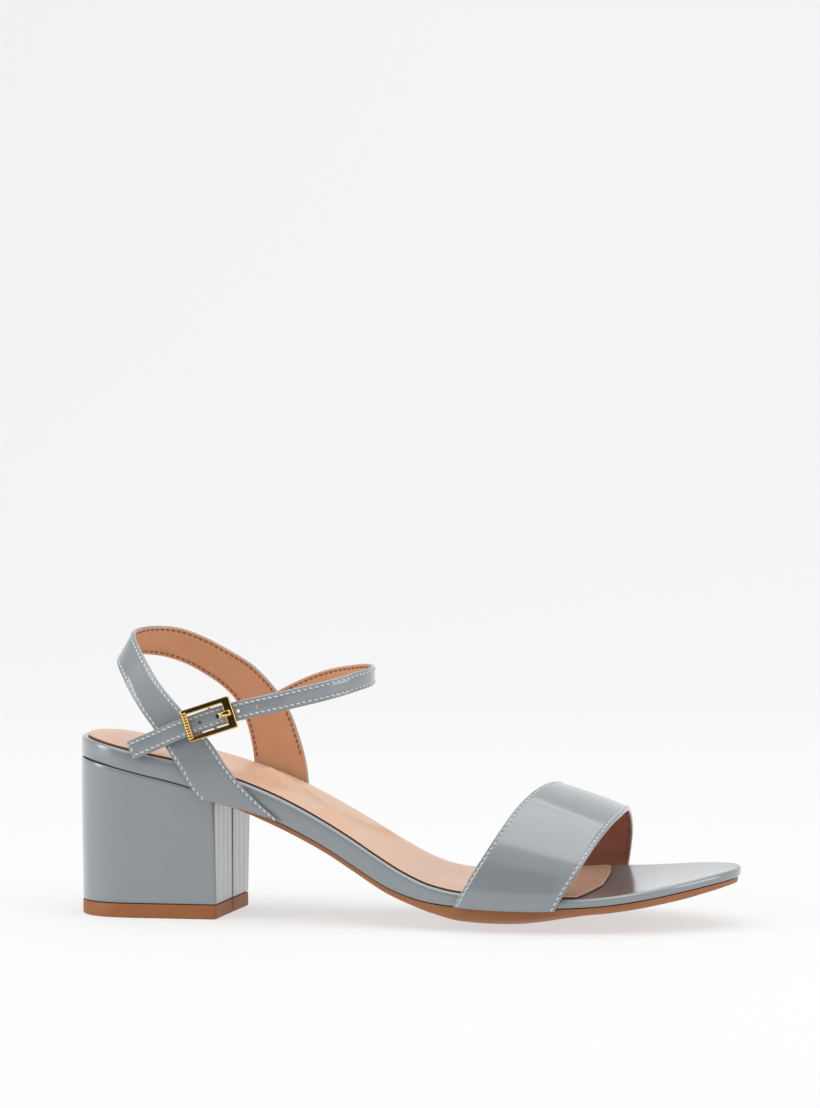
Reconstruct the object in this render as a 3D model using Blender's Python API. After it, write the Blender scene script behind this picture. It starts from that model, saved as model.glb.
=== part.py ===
"""Block heel sandal, right shoe: separate closed solids in metres, +X to the toe, +Y medial, +Z up."""

import math

import bmesh
import bpy
import numpy as np

# Driving sizes, in millimetres unless the name says otherwise

LENGTH = 237.0  # heel back to toe tip, level with the floor
BALL_WIDTH = 74.5  # footbed across the ball
BALL_TOP = 12.3  # rim of the footbed above the floor at the ball
HEEL_RISE = 51.9  # rim at the heel back, above the rim at the ball
TOE_RISE = 8.1  # rim at the toe tip, above the rim at the ball
BALL_TILT = 3.0  # medial rim above the lateral one, at most
BAND_HEIGHT = 8.7  # wrapped edge of the footbed, at most
SOLE_THICK = 4.4  # outsole's edge, at most
BELLY_SHIFT = 0.3  # how far medially the belly's lowest line lies, as a share of the half width
BELLY_OVER = 1.42  # belly of the outsole at the ball, as a share of its edge's height off the floor
CUP_DEPTH = 2.5  # dip of the footbed's top between its rims, at most
SOCK_THICK = 1.6  # sock's edge, at most
GAP = 0.3  # left between neighbouring pieces
HEEL_ROUND = 0.105  # share of the length taken by the round heel end
HEEL_POWER = 2.3  # 2 is an ellipse, more is squarer
TOE_ROUND = 0.22  # share of the length taken by the round toe end
TOE_POWER = 2.2
RIM_RADIUS = 1.5  # rounding of the footbed's top edge
SPINE_MARGIN = 23.0  # middle line of the footbed and sock stops this far inside their ends
SOCK_INSET = 2.4  # sock's edge inside the footbed's rim
SOCK_PAD = 1.3  # added to the sock's thickness towards its middle
SOCK_END = 0.7945  # share of the length where the sock's front ends
SOCK_ROUND = 0.0185  # share of the length taken by its front
SOCK_POWERS = (0.8, 3.2)  # shape of its front on the lateral and the medial side: under 1 is slanted
SOLE_INSET = 1.0  # outsole's edge inside the footbed's rim
BELLY_SHARE = 0.7  # how much of the outsole's belly the footbed's underside has
VAMP_RISE = 34.9  # crest of the vamp strap's back edge above the footbed's rim
HEEL_STRAP_RISE = 42.6  # highest line of the heel strap above the footbed's rim
ANKLE_RISE = 21.6  # crest of the ankle strap above the footbed's rim at the heel back
ANKLE_OUT = 0.3826 * BALL_WIDTH  # ankle strap's middle from the shoe's axis, on its lateral side
WIDE_STRAP = 1.6  # thickness of the vamp and heel straps
NARROW_STRAP = 1.4  # thickness of the ankle strap
NARROW_WIDTH = 6.9
VAMP_BULGE = 0.5  # how far the vamp's middle swells out
LIFT_HEIGHT = 5.0
BLOCK_ROUND = 22.0  # length of the block's round back
BLOCK_POWER = 2.5
BLOCK_TAPER = 0.05  # share by which its foot narrows towards the breast
BREAST_AT = 54.4  # heel back to the breast's middle
BREAST_SKEW = 1.2  # how far the medial side of the breast is ahead of the middle
CORNER = 1.4  # rounding of the breast's upright edges

BUCKLE_LENGTH = 18.4
BUCKLE_HEIGHT = 11.6
BUCKLE_THICK = 1.5
BAR_LEFT = 1.8
BAR_RIGHT = 3.2
BAR_SIDE = 1.9
CENTRE_BAR = 0.55  # radius
BUCKLE_ROW = 5  # row of ANKLE at the buckle's middle, counted from 0
PRONG_WIDTH = 1.5
PRONG_THICK = 1.0
PRONG_HOLE = 3.6  # hole ahead of the centre bar
PRONG_REACH = 8.2  # tip ahead of the centre bar
PRONG_HOLE_LONG = 1.75  # half length of the oval hole that the prong passes through
PRONG_HOLE_WIDE = 1.3  # half width of the same hole
CHAPE_WIDTH = 5.8
CHAPE_THICK = 0.8
CHAPE_FOLD = 2.6  # how far behind the centre bar its folded end stops
SLOT_WIDTH = 2.2


def table(text):
    """The columns of a table by name, from a line of names and a line for each section."""
    lines = [line.split() for line in text.strip().splitlines()]
    rows = np.array([[float(word) for word in line] for line in lines[1:]])
    return {name: rows[:, i] for i, name in enumerate(lines[0])}


# Half widths of the footbed, as shares of BALL_WIDTH, before its ends are rounded
PLAN = table("""
along lateral medial
0.00  0.344   0.337
0.10  0.346   0.339
0.20  0.351   0.336
0.30  0.361   0.316
0.40  0.386   0.294
0.50  0.440   0.312
0.60  0.494   0.376
0.68  0.518   0.445
0.74  0.515   0.482
0.80  0.494   0.489
0.88  0.452   0.463
0.95  0.380   0.396
1.00  0.310   0.330
""")

# Side view: climb and spring are shares of HEEL_RISE and TOE_RISE. Tilt is the medial rim over the lateral
# one as a share of BALL_TILT, band and sole are upright thicknesses as shares of BAND_HEIGHT and
# SOLE_THICK, belly and cup are drops towards the middle as shares of BELLY_DROP and CUP_DEPTH, and pad is
# the sock's edge as a share of SOCK_THICK.
PROFILE = table("""
along climb spring tilt  band  sole  belly cup   pad
 0.00 1.000  0.000 0.000 0.828 0.455 0.000 0.000 1.000
 0.04 0.969  0.000 0.000 0.828 0.455 0.000 0.360 1.000
 0.08 0.931  0.000 0.000 0.839 0.455 0.000 0.640 0.938
 0.12 0.893  0.000 0.000 0.862 0.455 0.000 0.800 0.844
 0.16 0.857  0.000 0.000 0.885 0.455 0.000 0.800 0.781
 0.20 0.813  0.000 0.000 0.908 0.455 0.000 0.760 0.719
 0.24 0.762  0.000 0.000 0.943 0.455 0.000 0.680 0.688
 0.28 0.702  0.000 0.000 0.977 0.455 0.017 0.600 0.625
 0.32 0.630  0.000 0.000 1.000 0.455 0.034 0.520 0.625
 0.36 0.545  0.000 0.000 0.989 0.455 0.086 0.480 0.625
 0.40 0.449  0.000 0.000 0.977 0.455 0.138 0.480 0.625
 0.44 0.345  0.000 0.000 1.000 0.455 0.207 0.520 0.625
 0.48 0.235  0.000 0.000 0.977 0.477 0.293 0.560 0.625
 0.52 0.135  0.000 0.033 0.839 0.523 0.414 0.680 0.625
 0.56 0.063  0.000 0.167 0.667 0.705 0.672 0.800 0.625
 0.60 0.027  0.000 0.367 0.552 0.955 0.914 0.920 0.625
 0.64 0.012  0.000 0.533 0.494 1.000 0.948 1.000 0.625
 0.68 0.004  0.000 0.700 0.437 0.977 1.000 1.000 0.625
 0.72 0.000  0.000 0.867 0.391 0.841 0.948 1.000 0.625
 0.76 0.000  0.016 1.000 0.368 0.636 0.845 0.920 0.625
 0.80 0.000  0.066 1.100 0.356 0.523 0.707 0.800 0.625
 0.84 0.000  0.190 0.933 0.356 0.545 0.534 0.600 0.625
 0.88 0.000  0.380 0.733 0.368 0.545 0.414 0.440 0.625
 0.92 0.000  0.590 0.600 0.368 0.545 0.276 0.280 0.625
 0.96 0.000  0.810 0.433 0.368 0.455 0.155 0.160 0.625
 1.00 0.000  1.030 0.200 0.368 0.318 0.052 0.080 0.625
""")

# Wide band over the toes, from its lateral foot to its medial foot. Side is a share of the footbed's
# half width there, along is from the heel back as a share of LENGTH, and rise is above the rim below that
# point as a share of VAMP_RISE.
VAMP = table("""
side   back_along back_rise front_along front_rise
-1.000     0.5975    -0.140      0.7477     -0.117
-1.005     0.6089     0.003      0.7595      0.026
-0.985     0.6291     0.252      0.7755      0.198
-0.935     0.6468     0.450      0.7857      0.307
-0.835     0.6633     0.639      0.7970      0.430
-0.675     0.6806     0.825      0.8093      0.553
-0.450     0.6970     0.951      0.8203      0.645
-0.200     0.7089     1.000      0.8278      0.685
 0.050     0.7156     0.997      0.8295      0.691
 0.300     0.7190     0.957      0.8283      0.668
 0.550     0.7181     0.862      0.8253      0.593
 0.750     0.7127     0.719      0.8232      0.473
 0.885     0.7030     0.533      0.8207      0.324
 0.960     0.6911     0.304      0.8165      0.149
 1.000     0.6785     0.074      0.8127      0.009
 1.000     0.6675    -0.120      0.8101     -0.100
""")

# Heel strap, from its lateral foot round the back to its medial foot, in the same way, with rises as
# shares of HEEL_STRAP_RISE
QUARTER = table("""
side   low_along low_rise up_along up_rise
-1.000    0.2089   -0.249   0.3295  -0.188
-1.000    0.1924   -0.178   0.3017  -0.124
-1.000    0.1852   -0.127   0.2734  -0.035
-0.998    0.1759   -0.054   0.2485   0.089
-0.985    0.1641    0.023   0.2274   0.223
-0.955    0.1519    0.108   0.2110   0.300
-0.905    0.1342    0.221   0.1916   0.371
-0.835    0.1114    0.347   0.1624   0.491
-0.720    0.0899    0.479   0.1346   0.620
-0.560    0.0743    0.577   0.1122   0.751
-0.350    0.0616    0.638   0.0945   0.847
-0.120    0.0557    0.667   0.0806   0.920
 0.110    0.0561    0.692   0.0772   0.946
 0.330    0.0641    0.709   0.0844   0.969
 0.540    0.0819    0.725   0.1030   0.993
 0.700    0.1055    0.725   0.1300   1.000
 0.810    0.1316    0.700   0.1637   0.962
 0.880    0.1603    0.643   0.2000   0.901
 0.930    0.1890    0.568   0.2380   0.826
 0.965    0.2101    0.472   0.2726   0.690
 0.990    0.2245    0.329   0.2941   0.552
 1.000    0.2338    0.148   0.3097   0.366
 1.000    0.2380    0.000   0.3207   0.171
 1.000    0.2397   -0.204   0.3283  -0.185
""")

# Middle line of the ankle strap, from its loose tip through the buckle and round to the heel strap.
# Along, out and above the footbed's rim at the heel back are shares of LENGTH, ANKLE_OUT and ANKLE_RISE.
ANKLE = table("""
along  out    above
0.0996 -0.958 -0.1944
0.1224 -0.961 -0.0926
0.1485 -0.975  0.0324
0.1755 -0.993  0.1620
0.2000 -1.000  0.2593
0.2249 -1.000  0.3565
0.2473 -1.000  0.4329
0.2722 -1.004  0.5046
0.2996 -0.996  0.5741
0.3291 -0.968  0.6481
0.3574 -0.909  0.7222
0.3861 -0.807  0.7963
0.4114 -0.646  0.8704
0.4321 -0.414  0.9398
0.4439 -0.133  0.9815
0.4422  0.168  1.0000
0.4270  0.449  0.9954
0.3979  0.674  0.9491
0.3629  0.814  0.8704
0.3291  0.884  0.7454
0.2954  0.923  0.5741
0.2624  0.926  0.3657
0.2304  0.919  0.1528
""")

# Heel block, from its lift up: level is a share of its height, back is from the heel back as a share of
# LENGTH, and the half widths are shares of BALL_WIDTH
BLOCK = table("""
level back   lateral medial
 0.00 0.0017  0.3007 0.2886
 0.25 0.0013  0.3074 0.2953
 0.50 0.0008  0.3154 0.3034
 0.75 0.0008  0.3262 0.3128
 1.00 0.0013  0.3383 0.3235
""")


def smooth(places, values, steady=True):
    """A cubic through the rows of a column. Steady keeps it from swinging past them."""
    steps = np.diff(places)
    slopes = np.diff(values) / steps
    bends = np.empty(len(places))
    bends[0] = slopes[0]
    bends[-1] = slopes[-1]
    for i in range(1, len(places) - 1):
        before, after = slopes[i - 1], slopes[i]
        if not steady:
            bends[i] = (steps[i] * before + steps[i - 1] * after) / (steps[i] + steps[i - 1])
        elif before * after <= 0:
            bends[i] = 0.0
        else:
            wide = 2 * steps[i] + steps[i - 1]
            narrow = steps[i] + 2 * steps[i - 1]
            bends[i] = (wide + narrow) / (wide / before + narrow / after)

    def at(place):
        place = np.clip(place, places[0], places[-1])
        i = np.clip(np.searchsorted(places, place, side="right") - 1, 0, len(steps) - 1)
        t = (place - places[i]) / steps[i]
        start = values[i] * (1 + 2 * t) * (1 - t) ** 2 + bends[i] * steps[i] * t * (1 - t) ** 2
        end = values[i + 1] * t * t * (3 - 2 * t) + bends[i + 1] * steps[i] * t * t * (t - 1)
        return start + end

    return at


plan = {name: smooth(PLAN["along"], PLAN[name]) for name in ("lateral", "medial")}
profile = {name: smooth(PROFILE["along"], PROFILE[name]) for name in PROFILE if name != "along"}


def edge_off_floor(share):
    """Height of the outsole's lateral lower edge."""
    top = BALL_TOP + HEEL_RISE * profile["climb"](share) + TOE_RISE * profile["spring"](share)
    return top - BAND_HEIGHT * profile["band"](share) - GAP - SOLE_THICK * profile["sole"](share)


BALL_AT = PROFILE["along"][np.argmax(PROFILE["belly"])]
BELLY_DROP = BELLY_OVER * edge_off_floor(BALL_AT)


def half_width(x, side, rounded=True, inset=0.0):
    """Half width of the footbed at x, less an inset all round: side under 0 is lateral, over 0 medial."""
    share = np.clip(x / LENGTH, 0.0, 1.0)
    wide = BALL_WIDTH * np.where(side < 0, plan["lateral"](share), plan["medial"](share)) - inset
    if not rounded:
        return wide
    heel = np.clip(1 - (x - inset) / (HEEL_ROUND * LENGTH - inset), 0, 1)
    toe = np.clip((x - LENGTH + TOE_ROUND * LENGTH) / (TOE_ROUND * LENGTH - inset), 0, 1)
    ends = (1 - heel**HEEL_POWER) ** (1 / HEEL_POWER) * (1 - toe**TOE_POWER) ** (1 / TOE_POWER)
    return wide * ends


def rim_top(x, side=-1.0):
    """Height of the footbed's rim, side being -1 on the lateral rim and 1 on the medial one."""
    share = x / LENGTH
    level = BALL_TOP + HEEL_RISE * profile["climb"](share) + TOE_RISE * profile["spring"](share)
    return level + BALL_TILT * profile["tilt"](share) * (1 + np.clip(side, -1, 1)) / 2


def band_low(x, side=-1.0):
    return rim_top(x, side) - BAND_HEIGHT * profile["band"](x / LENGTH)


def side_of(x, y):
    """-1 on the lateral rim, 0 on the axis, 1 on the medial rim."""
    return np.clip(y / np.maximum(half_width(x, y), 1e-6), -1, 1)


def footbed_top(x, y):
    side = side_of(x, y)
    return rim_top(x, side) - CUP_DEPTH * profile["cup"](x / LENGTH) * (1 - side**2)


def belly_drop(x, side):
    """How far the outsole's underside bulges below a straight line from edge to edge."""
    reach = np.where(side < BELLY_SHIFT, 1 + BELLY_SHIFT, 1 - BELLY_SHIFT)
    return BELLY_DROP * profile["belly"](x / LENGTH) * (1 - ((side - BELLY_SHIFT) / reach) ** 2)


def footbed_under(x, y):
    side = side_of(x, y)
    return band_low(x, side) - BELLY_SHARE * belly_drop(x, side)


def sole_under(x, y):
    """Underside of the outsole, cut flat at the floor."""
    side = side_of(x, y)
    edge = band_low(x, side) - GAP - SOLE_THICK * profile["sole"](x / LENGTH)
    return np.maximum(edge - belly_drop(x, side), 0.0)


def material(name, colour, rough, metal=0.0, coat=0.0):
    made = bpy.data.materials.new(name)
    made.use_nodes = True
    surface = made.node_tree.nodes["Principled BSDF"]
    surface.inputs["Base Color"].default_value = (*colour, 1.0)
    surface.inputs["Roughness"].default_value = rough
    surface.inputs["Metallic"].default_value = metal
    surface.inputs["Coat Weight"].default_value = coat
    return made


def solid(name, points, faces, look):
    """A mesh object from millimetre points, with doubles merged and its faces turned out."""
    mesh = bpy.data.meshes.new(name)
    mesh.from_pydata([tuple(p / 1000) for p in np.asarray(points, float)], [], faces)
    made = bmesh.new()
    made.from_mesh(mesh)
    bmesh.ops.remove_doubles(made, verts=made.verts, dist=2e-6)
    bmesh.ops.dissolve_degenerate(made, edges=made.edges, dist=1e-6)
    bmesh.ops.triangulate(made, faces=made.faces)
    bmesh.ops.recalc_face_normals(made, faces=made.faces)
    made.to_mesh(mesh)
    made.free()
    mesh.shade_smooth()
    mesh.materials.append(look)
    obj = bpy.data.objects.new(name, mesh)
    bpy.context.scene.collection.objects.link(obj)
    return obj


def joined(obj, other, operation):
    """Applies an exact Boolean to obj and removes the other object."""
    change = obj.modifiers.new(operation.lower(), "BOOLEAN")
    change.operation = operation
    change.solver = "EXACT"
    change.object = other
    graph = bpy.context.evaluated_depsgraph_get()
    mesh = bpy.data.meshes.new_from_object(obj.evaluated_get(graph))
    obj.modifiers.clear()
    obj.data = mesh
    bpy.data.objects.remove(other)
    return obj


def rings_to_solid(name, rings, look):
    """Joins rings of equal length, first and last included, into a closed body like a loaf."""
    count = len(rings[0])
    faces = []
    for r in range(len(rings) - 1):
        for i in range(count):
            j = (i + 1) % count
            faces.append((r * count + i, r * count + j, (r + 1) * count + j, (r + 1) * count + i))
    return solid(name, np.concatenate(rings), faces, look)


def tube_to_solid(name, sections, look):
    """Joins closed cross-sections end to end, with a face at each end."""
    count = len(sections[0])
    last = (len(sections) - 1) * count
    faces = [tuple(range(count)), tuple(last + i for i in range(count))[::-1]]
    for r in range(len(sections) - 1):
        for i in range(count):
            j = (i + 1) % count
            faces.append((r * count + i, r * count + j, (r + 1) * count + j, (r + 1) * count + i))
    return solid(name, np.concatenate(sections), faces, look)


# Footbed, sock and outsole


def stations(start, end, width, count):
    """Shares of the length, spaced evenly along the outline from its start to its end."""
    fine = start + (end - start) * (1 - np.cos(math.pi * np.linspace(0, 1, 2001))) / 2
    wide = width(fine)
    run = np.concatenate([[0], np.cumsum(np.hypot(np.diff(fine * LENGTH), np.diff(wide)))])
    return np.interp(np.linspace(0, run[-1], count), run, fine)


def outline(shares, widths):
    """Closed outline from the heel back along the lateral side to the toe and back: points and normals."""
    x = shares * LENGTH
    lateral = np.stack([x, -widths(x, -1.0)], -1)
    medial = np.stack([x, widths(x, 1.0)], -1)[::-1]
    points = np.concatenate([lateral, medial[1:-1]])
    ahead = np.roll(points, -1, 0) - np.roll(points, 1, 0)
    normals = np.stack([ahead[:, 1], -ahead[:, 0]], -1)
    return points, normals / np.linalg.norm(normals, axis=1)[:, None]


def spine_of(points, start, end):
    """For each outline point, the point of the middle line that it closes towards."""
    share = (points[:, 0] - points[:, 0].min()) / np.ptp(points[:, 0])
    x = start + (end - start) * share
    return np.stack([x, (half_width(x, 1.0) - half_width(x, -1.0)) / 2], -1)


def level_ring(plan_points, height):
    return np.column_stack([plan_points, height])


def make_footbed(look):
    shares = stations(0.0, 1.0, lambda s: half_width(s * LENGTH, -1.0), 43)
    points, normals = outline(shares, half_width)
    spine = spine_of(points, SPINE_MARGIN, LENGTH - SPINE_MARGIN)
    rings = []
    inner = points - normals * 2 * RIM_RADIUS
    for share in (1.0, 0.75, 0.5, 0.25, 0.0):
        flat = inner + (spine - inner) * share
        rings.append(level_ring(flat, footbed_top(flat[:, 0], flat[:, 1])))
    for inset, drop in ((1.0, 0.08), (0.42, 0.33), (0.0, 1.0)):
        flat = points - normals * inset * RIM_RADIUS
        side = np.sign(points[:, 1])
        high = footbed_top(flat[:, 0], flat[:, 1]) if inset == 1.0 else rim_top(points[:, 0], side)
        rings.append(level_ring(flat, high - drop * RIM_RADIUS))
    for inset, rise in ((0.0, 0.9), (0.35, 0.25), (1.0, 0.0)):
        flat = points - normals * inset
        rings.append(level_ring(flat, footbed_under(flat[:, 0], flat[:, 1]) + rise))
    base = points - normals
    for share in (0.3, 0.55, 0.8, 1.0):
        flat = base + (spine - base) * share
        rings.append(level_ring(flat, footbed_under(flat[:, 0], flat[:, 1])))
    return rings_to_solid("footbed", rings, look)


def sock_width(x, side):
    """Half width of the sock, with its own rounded front."""
    share = x / LENGTH
    toe = np.clip((share - SOCK_END + SOCK_ROUND) / SOCK_ROUND, 0, 1)
    wide = half_width(x, side, inset=SOCK_INSET)
    power = np.where(side < 0, *SOCK_POWERS)
    return wide * (1 - toe**power) ** (1 / power)


def make_sock(look):
    shares = stations(SOCK_INSET / LENGTH, SOCK_END, lambda s: sock_width(s * LENGTH, -1.0), 42)
    points, normals = outline(shares, sock_width)
    spine = spine_of(points, SPINE_MARGIN, SOCK_END * LENGTH - SPINE_MARGIN)
    rings = []
    pad = profile["pad"](points[:, 0] / LENGTH)
    for inward_share in (1.0, 0.66, 0.33):
        flat = points - normals * 1.6
        flat = flat + (spine - flat) * inward_share
        thick = profile["pad"](flat[:, 0] / LENGTH) + SOCK_PAD * np.minimum(1, 2 * inward_share)
        rings.append(level_ring(flat, footbed_top(flat[:, 0], flat[:, 1]) + GAP + thick))
    for inset, part in ((1.6, 1.0), (0.6, 0.86), (0.0, 0.45), (0.0, 0.0)):
        flat = points - normals * inset
        rings.append(level_ring(flat, footbed_top(flat[:, 0], flat[:, 1]) + GAP + part * pad))
    for inward_share in (0.33, 0.66, 1.0):
        flat = points + (spine - points) * inward_share
        rings.append(level_ring(flat, footbed_top(flat[:, 0], flat[:, 1]) + GAP))
    return rings_to_solid("sock_lining", rings, look)


def breast_line(y, wide):
    return BREAST_AT + BREAST_SKEW * np.clip(y / wide, -1, 1)


def make_outsole(look):
    start = (BREAST_AT + BREAST_SKEW) / LENGTH
    turn = np.linspace(0, math.pi / 2, 42)
    shares = start + (0.9995 - SOLE_INSET / LENGTH - start) * np.sin(turn)
    across = np.array([-1.0, -0.95, -0.82, -0.62, -0.4, -0.2, 0.0, 0.2, 0.4, 0.62, 0.82, 0.95, 1.0])
    sections = []
    for i, share in enumerate(shares):
        x0 = share * LENGTH
        ahead = np.full(len(across), x0)
        wide = np.array([half_width(x0, a, inset=SOLE_INSET) for a in across])
        y = across * np.maximum(wide, 0.4)
        if i == 0:
            ahead = breast_line(y, abs(y[0])) + GAP
        top = footbed_under(ahead, y) - GAP
        low = sole_under(ahead, y)
        low[[0, -1]] = np.minimum(low[[0, -1]] + 0.7, top[[0, -1]] - 0.8)
        upper = np.column_stack([ahead, y, top])
        lower = np.column_stack([ahead, y, low])
        sections.append(np.concatenate([upper, lower[::-1]]))
    return tube_to_solid("outsole", sections, look)


# Heel


def block_size(level, name):
    size = LENGTH if name == "back" else BALL_WIDTH
    return size * smooth(BLOCK["level"], BLOCK[name])(level)


def block_section(level):
    """Plan of the block at one level: columns x, lateral y, medial y, from the back to the breast."""
    back = block_size(level, "back")
    turn = np.linspace(0, math.pi / 2, 13)
    x = list(back + BLOCK_ROUND * (1 - np.cos(turn) ** (2 / BLOCK_POWER)))
    wide = list(np.sin(turn) ** (2 / BLOCK_POWER))
    for share in (0.35, 0.7):
        x.append(x[12] + (BREAST_AT - CORNER - x[12]) * share)
        wide.append(1.0)
    for back_by, in_by in ((CORNER, 0.0), (CORNER * 0.29, CORNER * 0.29), (0.0, CORNER)):
        x.append(BREAST_AT - back_by)
        wide.append(1.0 - in_by / block_size(level, "lateral"))
    x, wide = np.array(x), np.array(wide)
    forward = np.clip((x - BLOCK_ROUND) / (BREAST_AT - BLOCK_ROUND), 0, 1)
    taper = 1 - BLOCK_TAPER * (1 - level) * forward
    lateral = -wide * taper * block_size(level, "lateral")
    medial = wide * taper * block_size(level, "medial")
    return x, forward, lateral, medial


def block_rows(level, height):
    """Ring of points at one level: lateral from the back to the breast, then medial to the back."""
    x, forward, lateral, medial = block_section(level)
    rows = []
    for side in (lateral, medial):
        skew = BREAST_SKEW * forward * side / np.abs(side).max()
        ahead = x + skew
        up = height(ahead) if callable(height) else np.full(len(x), height)
        rows.append(np.column_stack([ahead, side, up]))
    return np.concatenate([rows[0], rows[1][::-1]])


def block_to_solid(name, levels, look):
    """Joins the levels, and closes the top and the bottom with strips across."""
    count = len(levels[0])
    half = count // 2
    faces = []
    for r in range(len(levels) - 1):
        for i in range(count):
            j = (i + 1) % count
            faces.append((r * count + i, r * count + j, (r + 1) * count + j, (r + 1) * count + i))
    for r in (0, len(levels) - 1):
        for i in range(half - 1):
            far = count - 1 - i
            faces.append((r * count + i, r * count + i + 1, r * count + far - 1, r * count + far))
    return solid(name, np.concatenate(levels), faces, look)


def make_heel_block(look):
    foot = LIFT_HEIGHT + GAP

    def top(x):
        return band_low(x) - GAP

    levels = []
    for level in BLOCK["level"]:
        share = (level - BLOCK["level"][0]) / (BLOCK["level"][-1] - BLOCK["level"][0])
        levels.append(block_rows(level, lambda x, s=share: foot + (top(x) - foot) * s))
    return block_to_solid("heel_block", levels, look)


def make_top_lift(look):
    levels = [block_rows(0.0, 0.4), block_rows(0.0, LIFT_HEIGHT)]
    foot = block_rows(0.0, 0.0)
    middle = foot.mean(0)
    foot[:, :2] = middle[:2] + (foot[:, :2] - middle[:2]) * 0.985
    return block_to_solid("top_lift", [foot, *levels], look)


# Straps


def strap_grid(rows, low, up, crest, steps, columns, rounded):
    """Points of a wide strap's middle surface, [step, column], from a table of its two edges."""
    off = GAP + WIDE_STRAP / 2 + 0.1
    ahead = LENGTH * (rows[low + "_along"] + rows[up + "_along"]) / 2
    side_mm = rows["side"] * half_width(ahead, rows["side"], rounded)
    high = rim_top(ahead, rows["side"]) + crest * (rows[low + "_rise"] + rows[up + "_rise"]) / 2
    middle = np.column_stack([ahead, side_mm, high])
    run = np.concatenate([[0], np.cumsum(np.linalg.norm(np.diff(middle, axis=0), axis=1))])
    column = {name: smooth(run, rows[name], steady=name == "side") for name in rows}
    t = np.linspace(0, run[-1], steps)
    grid = np.empty((steps, columns, 3))
    for c in range(columns):
        a = c / (columns - 1)
        x = LENGTH * ((1 - a) * column[low + "_along"](t) + a * column[up + "_along"](t))
        rise = crest * ((1 - a) * column[low + "_rise"](t) + a * column[up + "_rise"](t))
        side = column["side"](t)
        grid[:, c, 0] = x
        grid[:, c, 1] = side * (half_width(x, side, rounded) + off)
        grid[:, c, 2] = rim_top(x, side) + rise
    return grid


def normals_of(grid, outward):
    along = np.gradient(grid, axis=0)
    across = np.gradient(grid, axis=1)
    normal = np.cross(across, along) * outward
    return normal / np.linalg.norm(normal, axis=2)[:, :, None]


def strap_solid(name, grid, thickness, outward, look):
    """Gives a grid of middle points its thickness, with the two long edges rounded."""
    normal = normals_of(grid, outward)
    edge = 0.3 * thickness
    across = grid[:, -1] - grid[:, 0]
    across /= np.linalg.norm(across, axis=1)[:, None]
    outer = grid + normal * thickness / 2
    inner = grid - normal * thickness / 2
    for side in (outer, inner):
        side[:, 0] += across * edge
        side[:, -1] -= across * edge
    lift = 0.22 * thickness
    low_edge = [grid[:, 0] - normal[:, 0] * lift, grid[:, 0] + normal[:, 0] * lift]
    up_edge = [grid[:, -1] + normal[:, -1] * lift, grid[:, -1] - normal[:, -1] * lift]
    columns = [*low_edge]
    columns += [outer[:, c] for c in range(grid.shape[1])]
    columns += up_edge
    columns += [inner[:, c] for c in range(grid.shape[1] - 1, -1, -1)]
    return tube_to_solid(name, list(np.stack(columns, 1)), look)


def make_vamp(look):
    grid = strap_grid(VAMP, "back", "front", VAMP_RISE, 35, 7, rounded=True)
    normal = normals_of(grid, 1)
    steps, columns = grid.shape[:2]
    t = np.linspace(0, 1, steps)
    free = np.clip(np.minimum(t, 1 - t) / 0.2 - 0.4, 0, 1)
    swell = np.sin(math.pi * np.linspace(0, 1, columns))
    grid += normal * (VAMP_BULGE * free[:, None] * swell[None, :])[:, :, None]
    return strap_solid("vamp_strap", grid, WIDE_STRAP, 1, look)


def ankle_line():
    up = ANKLE_RISE * ANKLE["above"] + BALL_TOP + HEEL_RISE
    return np.column_stack([LENGTH * ANKLE["along"], ANKLE_OUT * ANKLE["out"], up])


def ankle_grid(steps):
    line = ankle_line()
    run = np.concatenate([[0], np.cumsum(np.linalg.norm(np.diff(line, axis=0), axis=1))])
    t = np.linspace(0, run[-1], steps)
    centre = np.column_stack([smooth(run, line[:, k], steady=False)(t) for k in range(3)])
    ahead = np.gradient(centre, axis=0)
    ahead /= np.linalg.norm(ahead, axis=1)[:, None]
    out = np.cross(ahead, [0.0, 0.0, 1.0])
    out /= np.linalg.norm(out, axis=1)[:, None]
    across = np.cross(out, ahead)
    offsets = np.array([-0.5, 0.0, 0.5]) * NARROW_WIDTH
    return centre[:, None, :] + across[:, None, :] * offsets[None, :, None]


def make_heel_and_ankle_strap(look):
    quarter = strap_grid(QUARTER, "low", "up", HEEL_STRAP_RISE, 53, 5, rounded=False)
    heel_strap = strap_solid("heel_and_ankle_strap", quarter, WIDE_STRAP, 1, look)
    ankle = strap_solid("ankle_strap", ankle_grid(73), NARROW_STRAP, -1, look)
    both = joined(heel_strap, ankle, "UNION")
    middle = place(PRONG_HOLE - GAP, 0.0, 0.0)
    turn = np.linspace(0, 2 * math.pi, 13)[:-1]
    ends = []
    for depth in (-2.5, 2.5):
        ring = [
            middle + LEAN * PRONG_HOLE_LONG * math.cos(a) + UP * PRONG_HOLE_WIDE * math.sin(a) + OUT * depth
            for a in turn
        ]
        ends.append(np.array(ring))
    punch = tube_to_solid("punch", ends, look)
    return joined(both, punch, "DIFFERENCE")


# Buckle, in its own frame: LEAN along the strap towards the toe, UP across it, OUT away from the foot

BUCKLE_AT = ankle_line()[BUCKLE_ROW]
LEAN = ankle_line()[BUCKLE_ROW + 1] - ankle_line()[BUCKLE_ROW - 1]
LEAN /= np.linalg.norm(LEAN)
UP = np.array([-LEAN[2], 0.0, LEAN[0]])
OUT = np.array([0.0, -1.0, 0.0])
FRAME_DEPTH = NARROW_STRAP / 2 + GAP + BUCKLE_THICK / 2
BAR_DEPTH = -(NARROW_STRAP / 2 + 2 * GAP + CHAPE_THICK + CENTRE_BAR)


def place(along, up, out):
    return BUCKLE_AT + LEAN * along + UP * up + OUT * out


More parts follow.
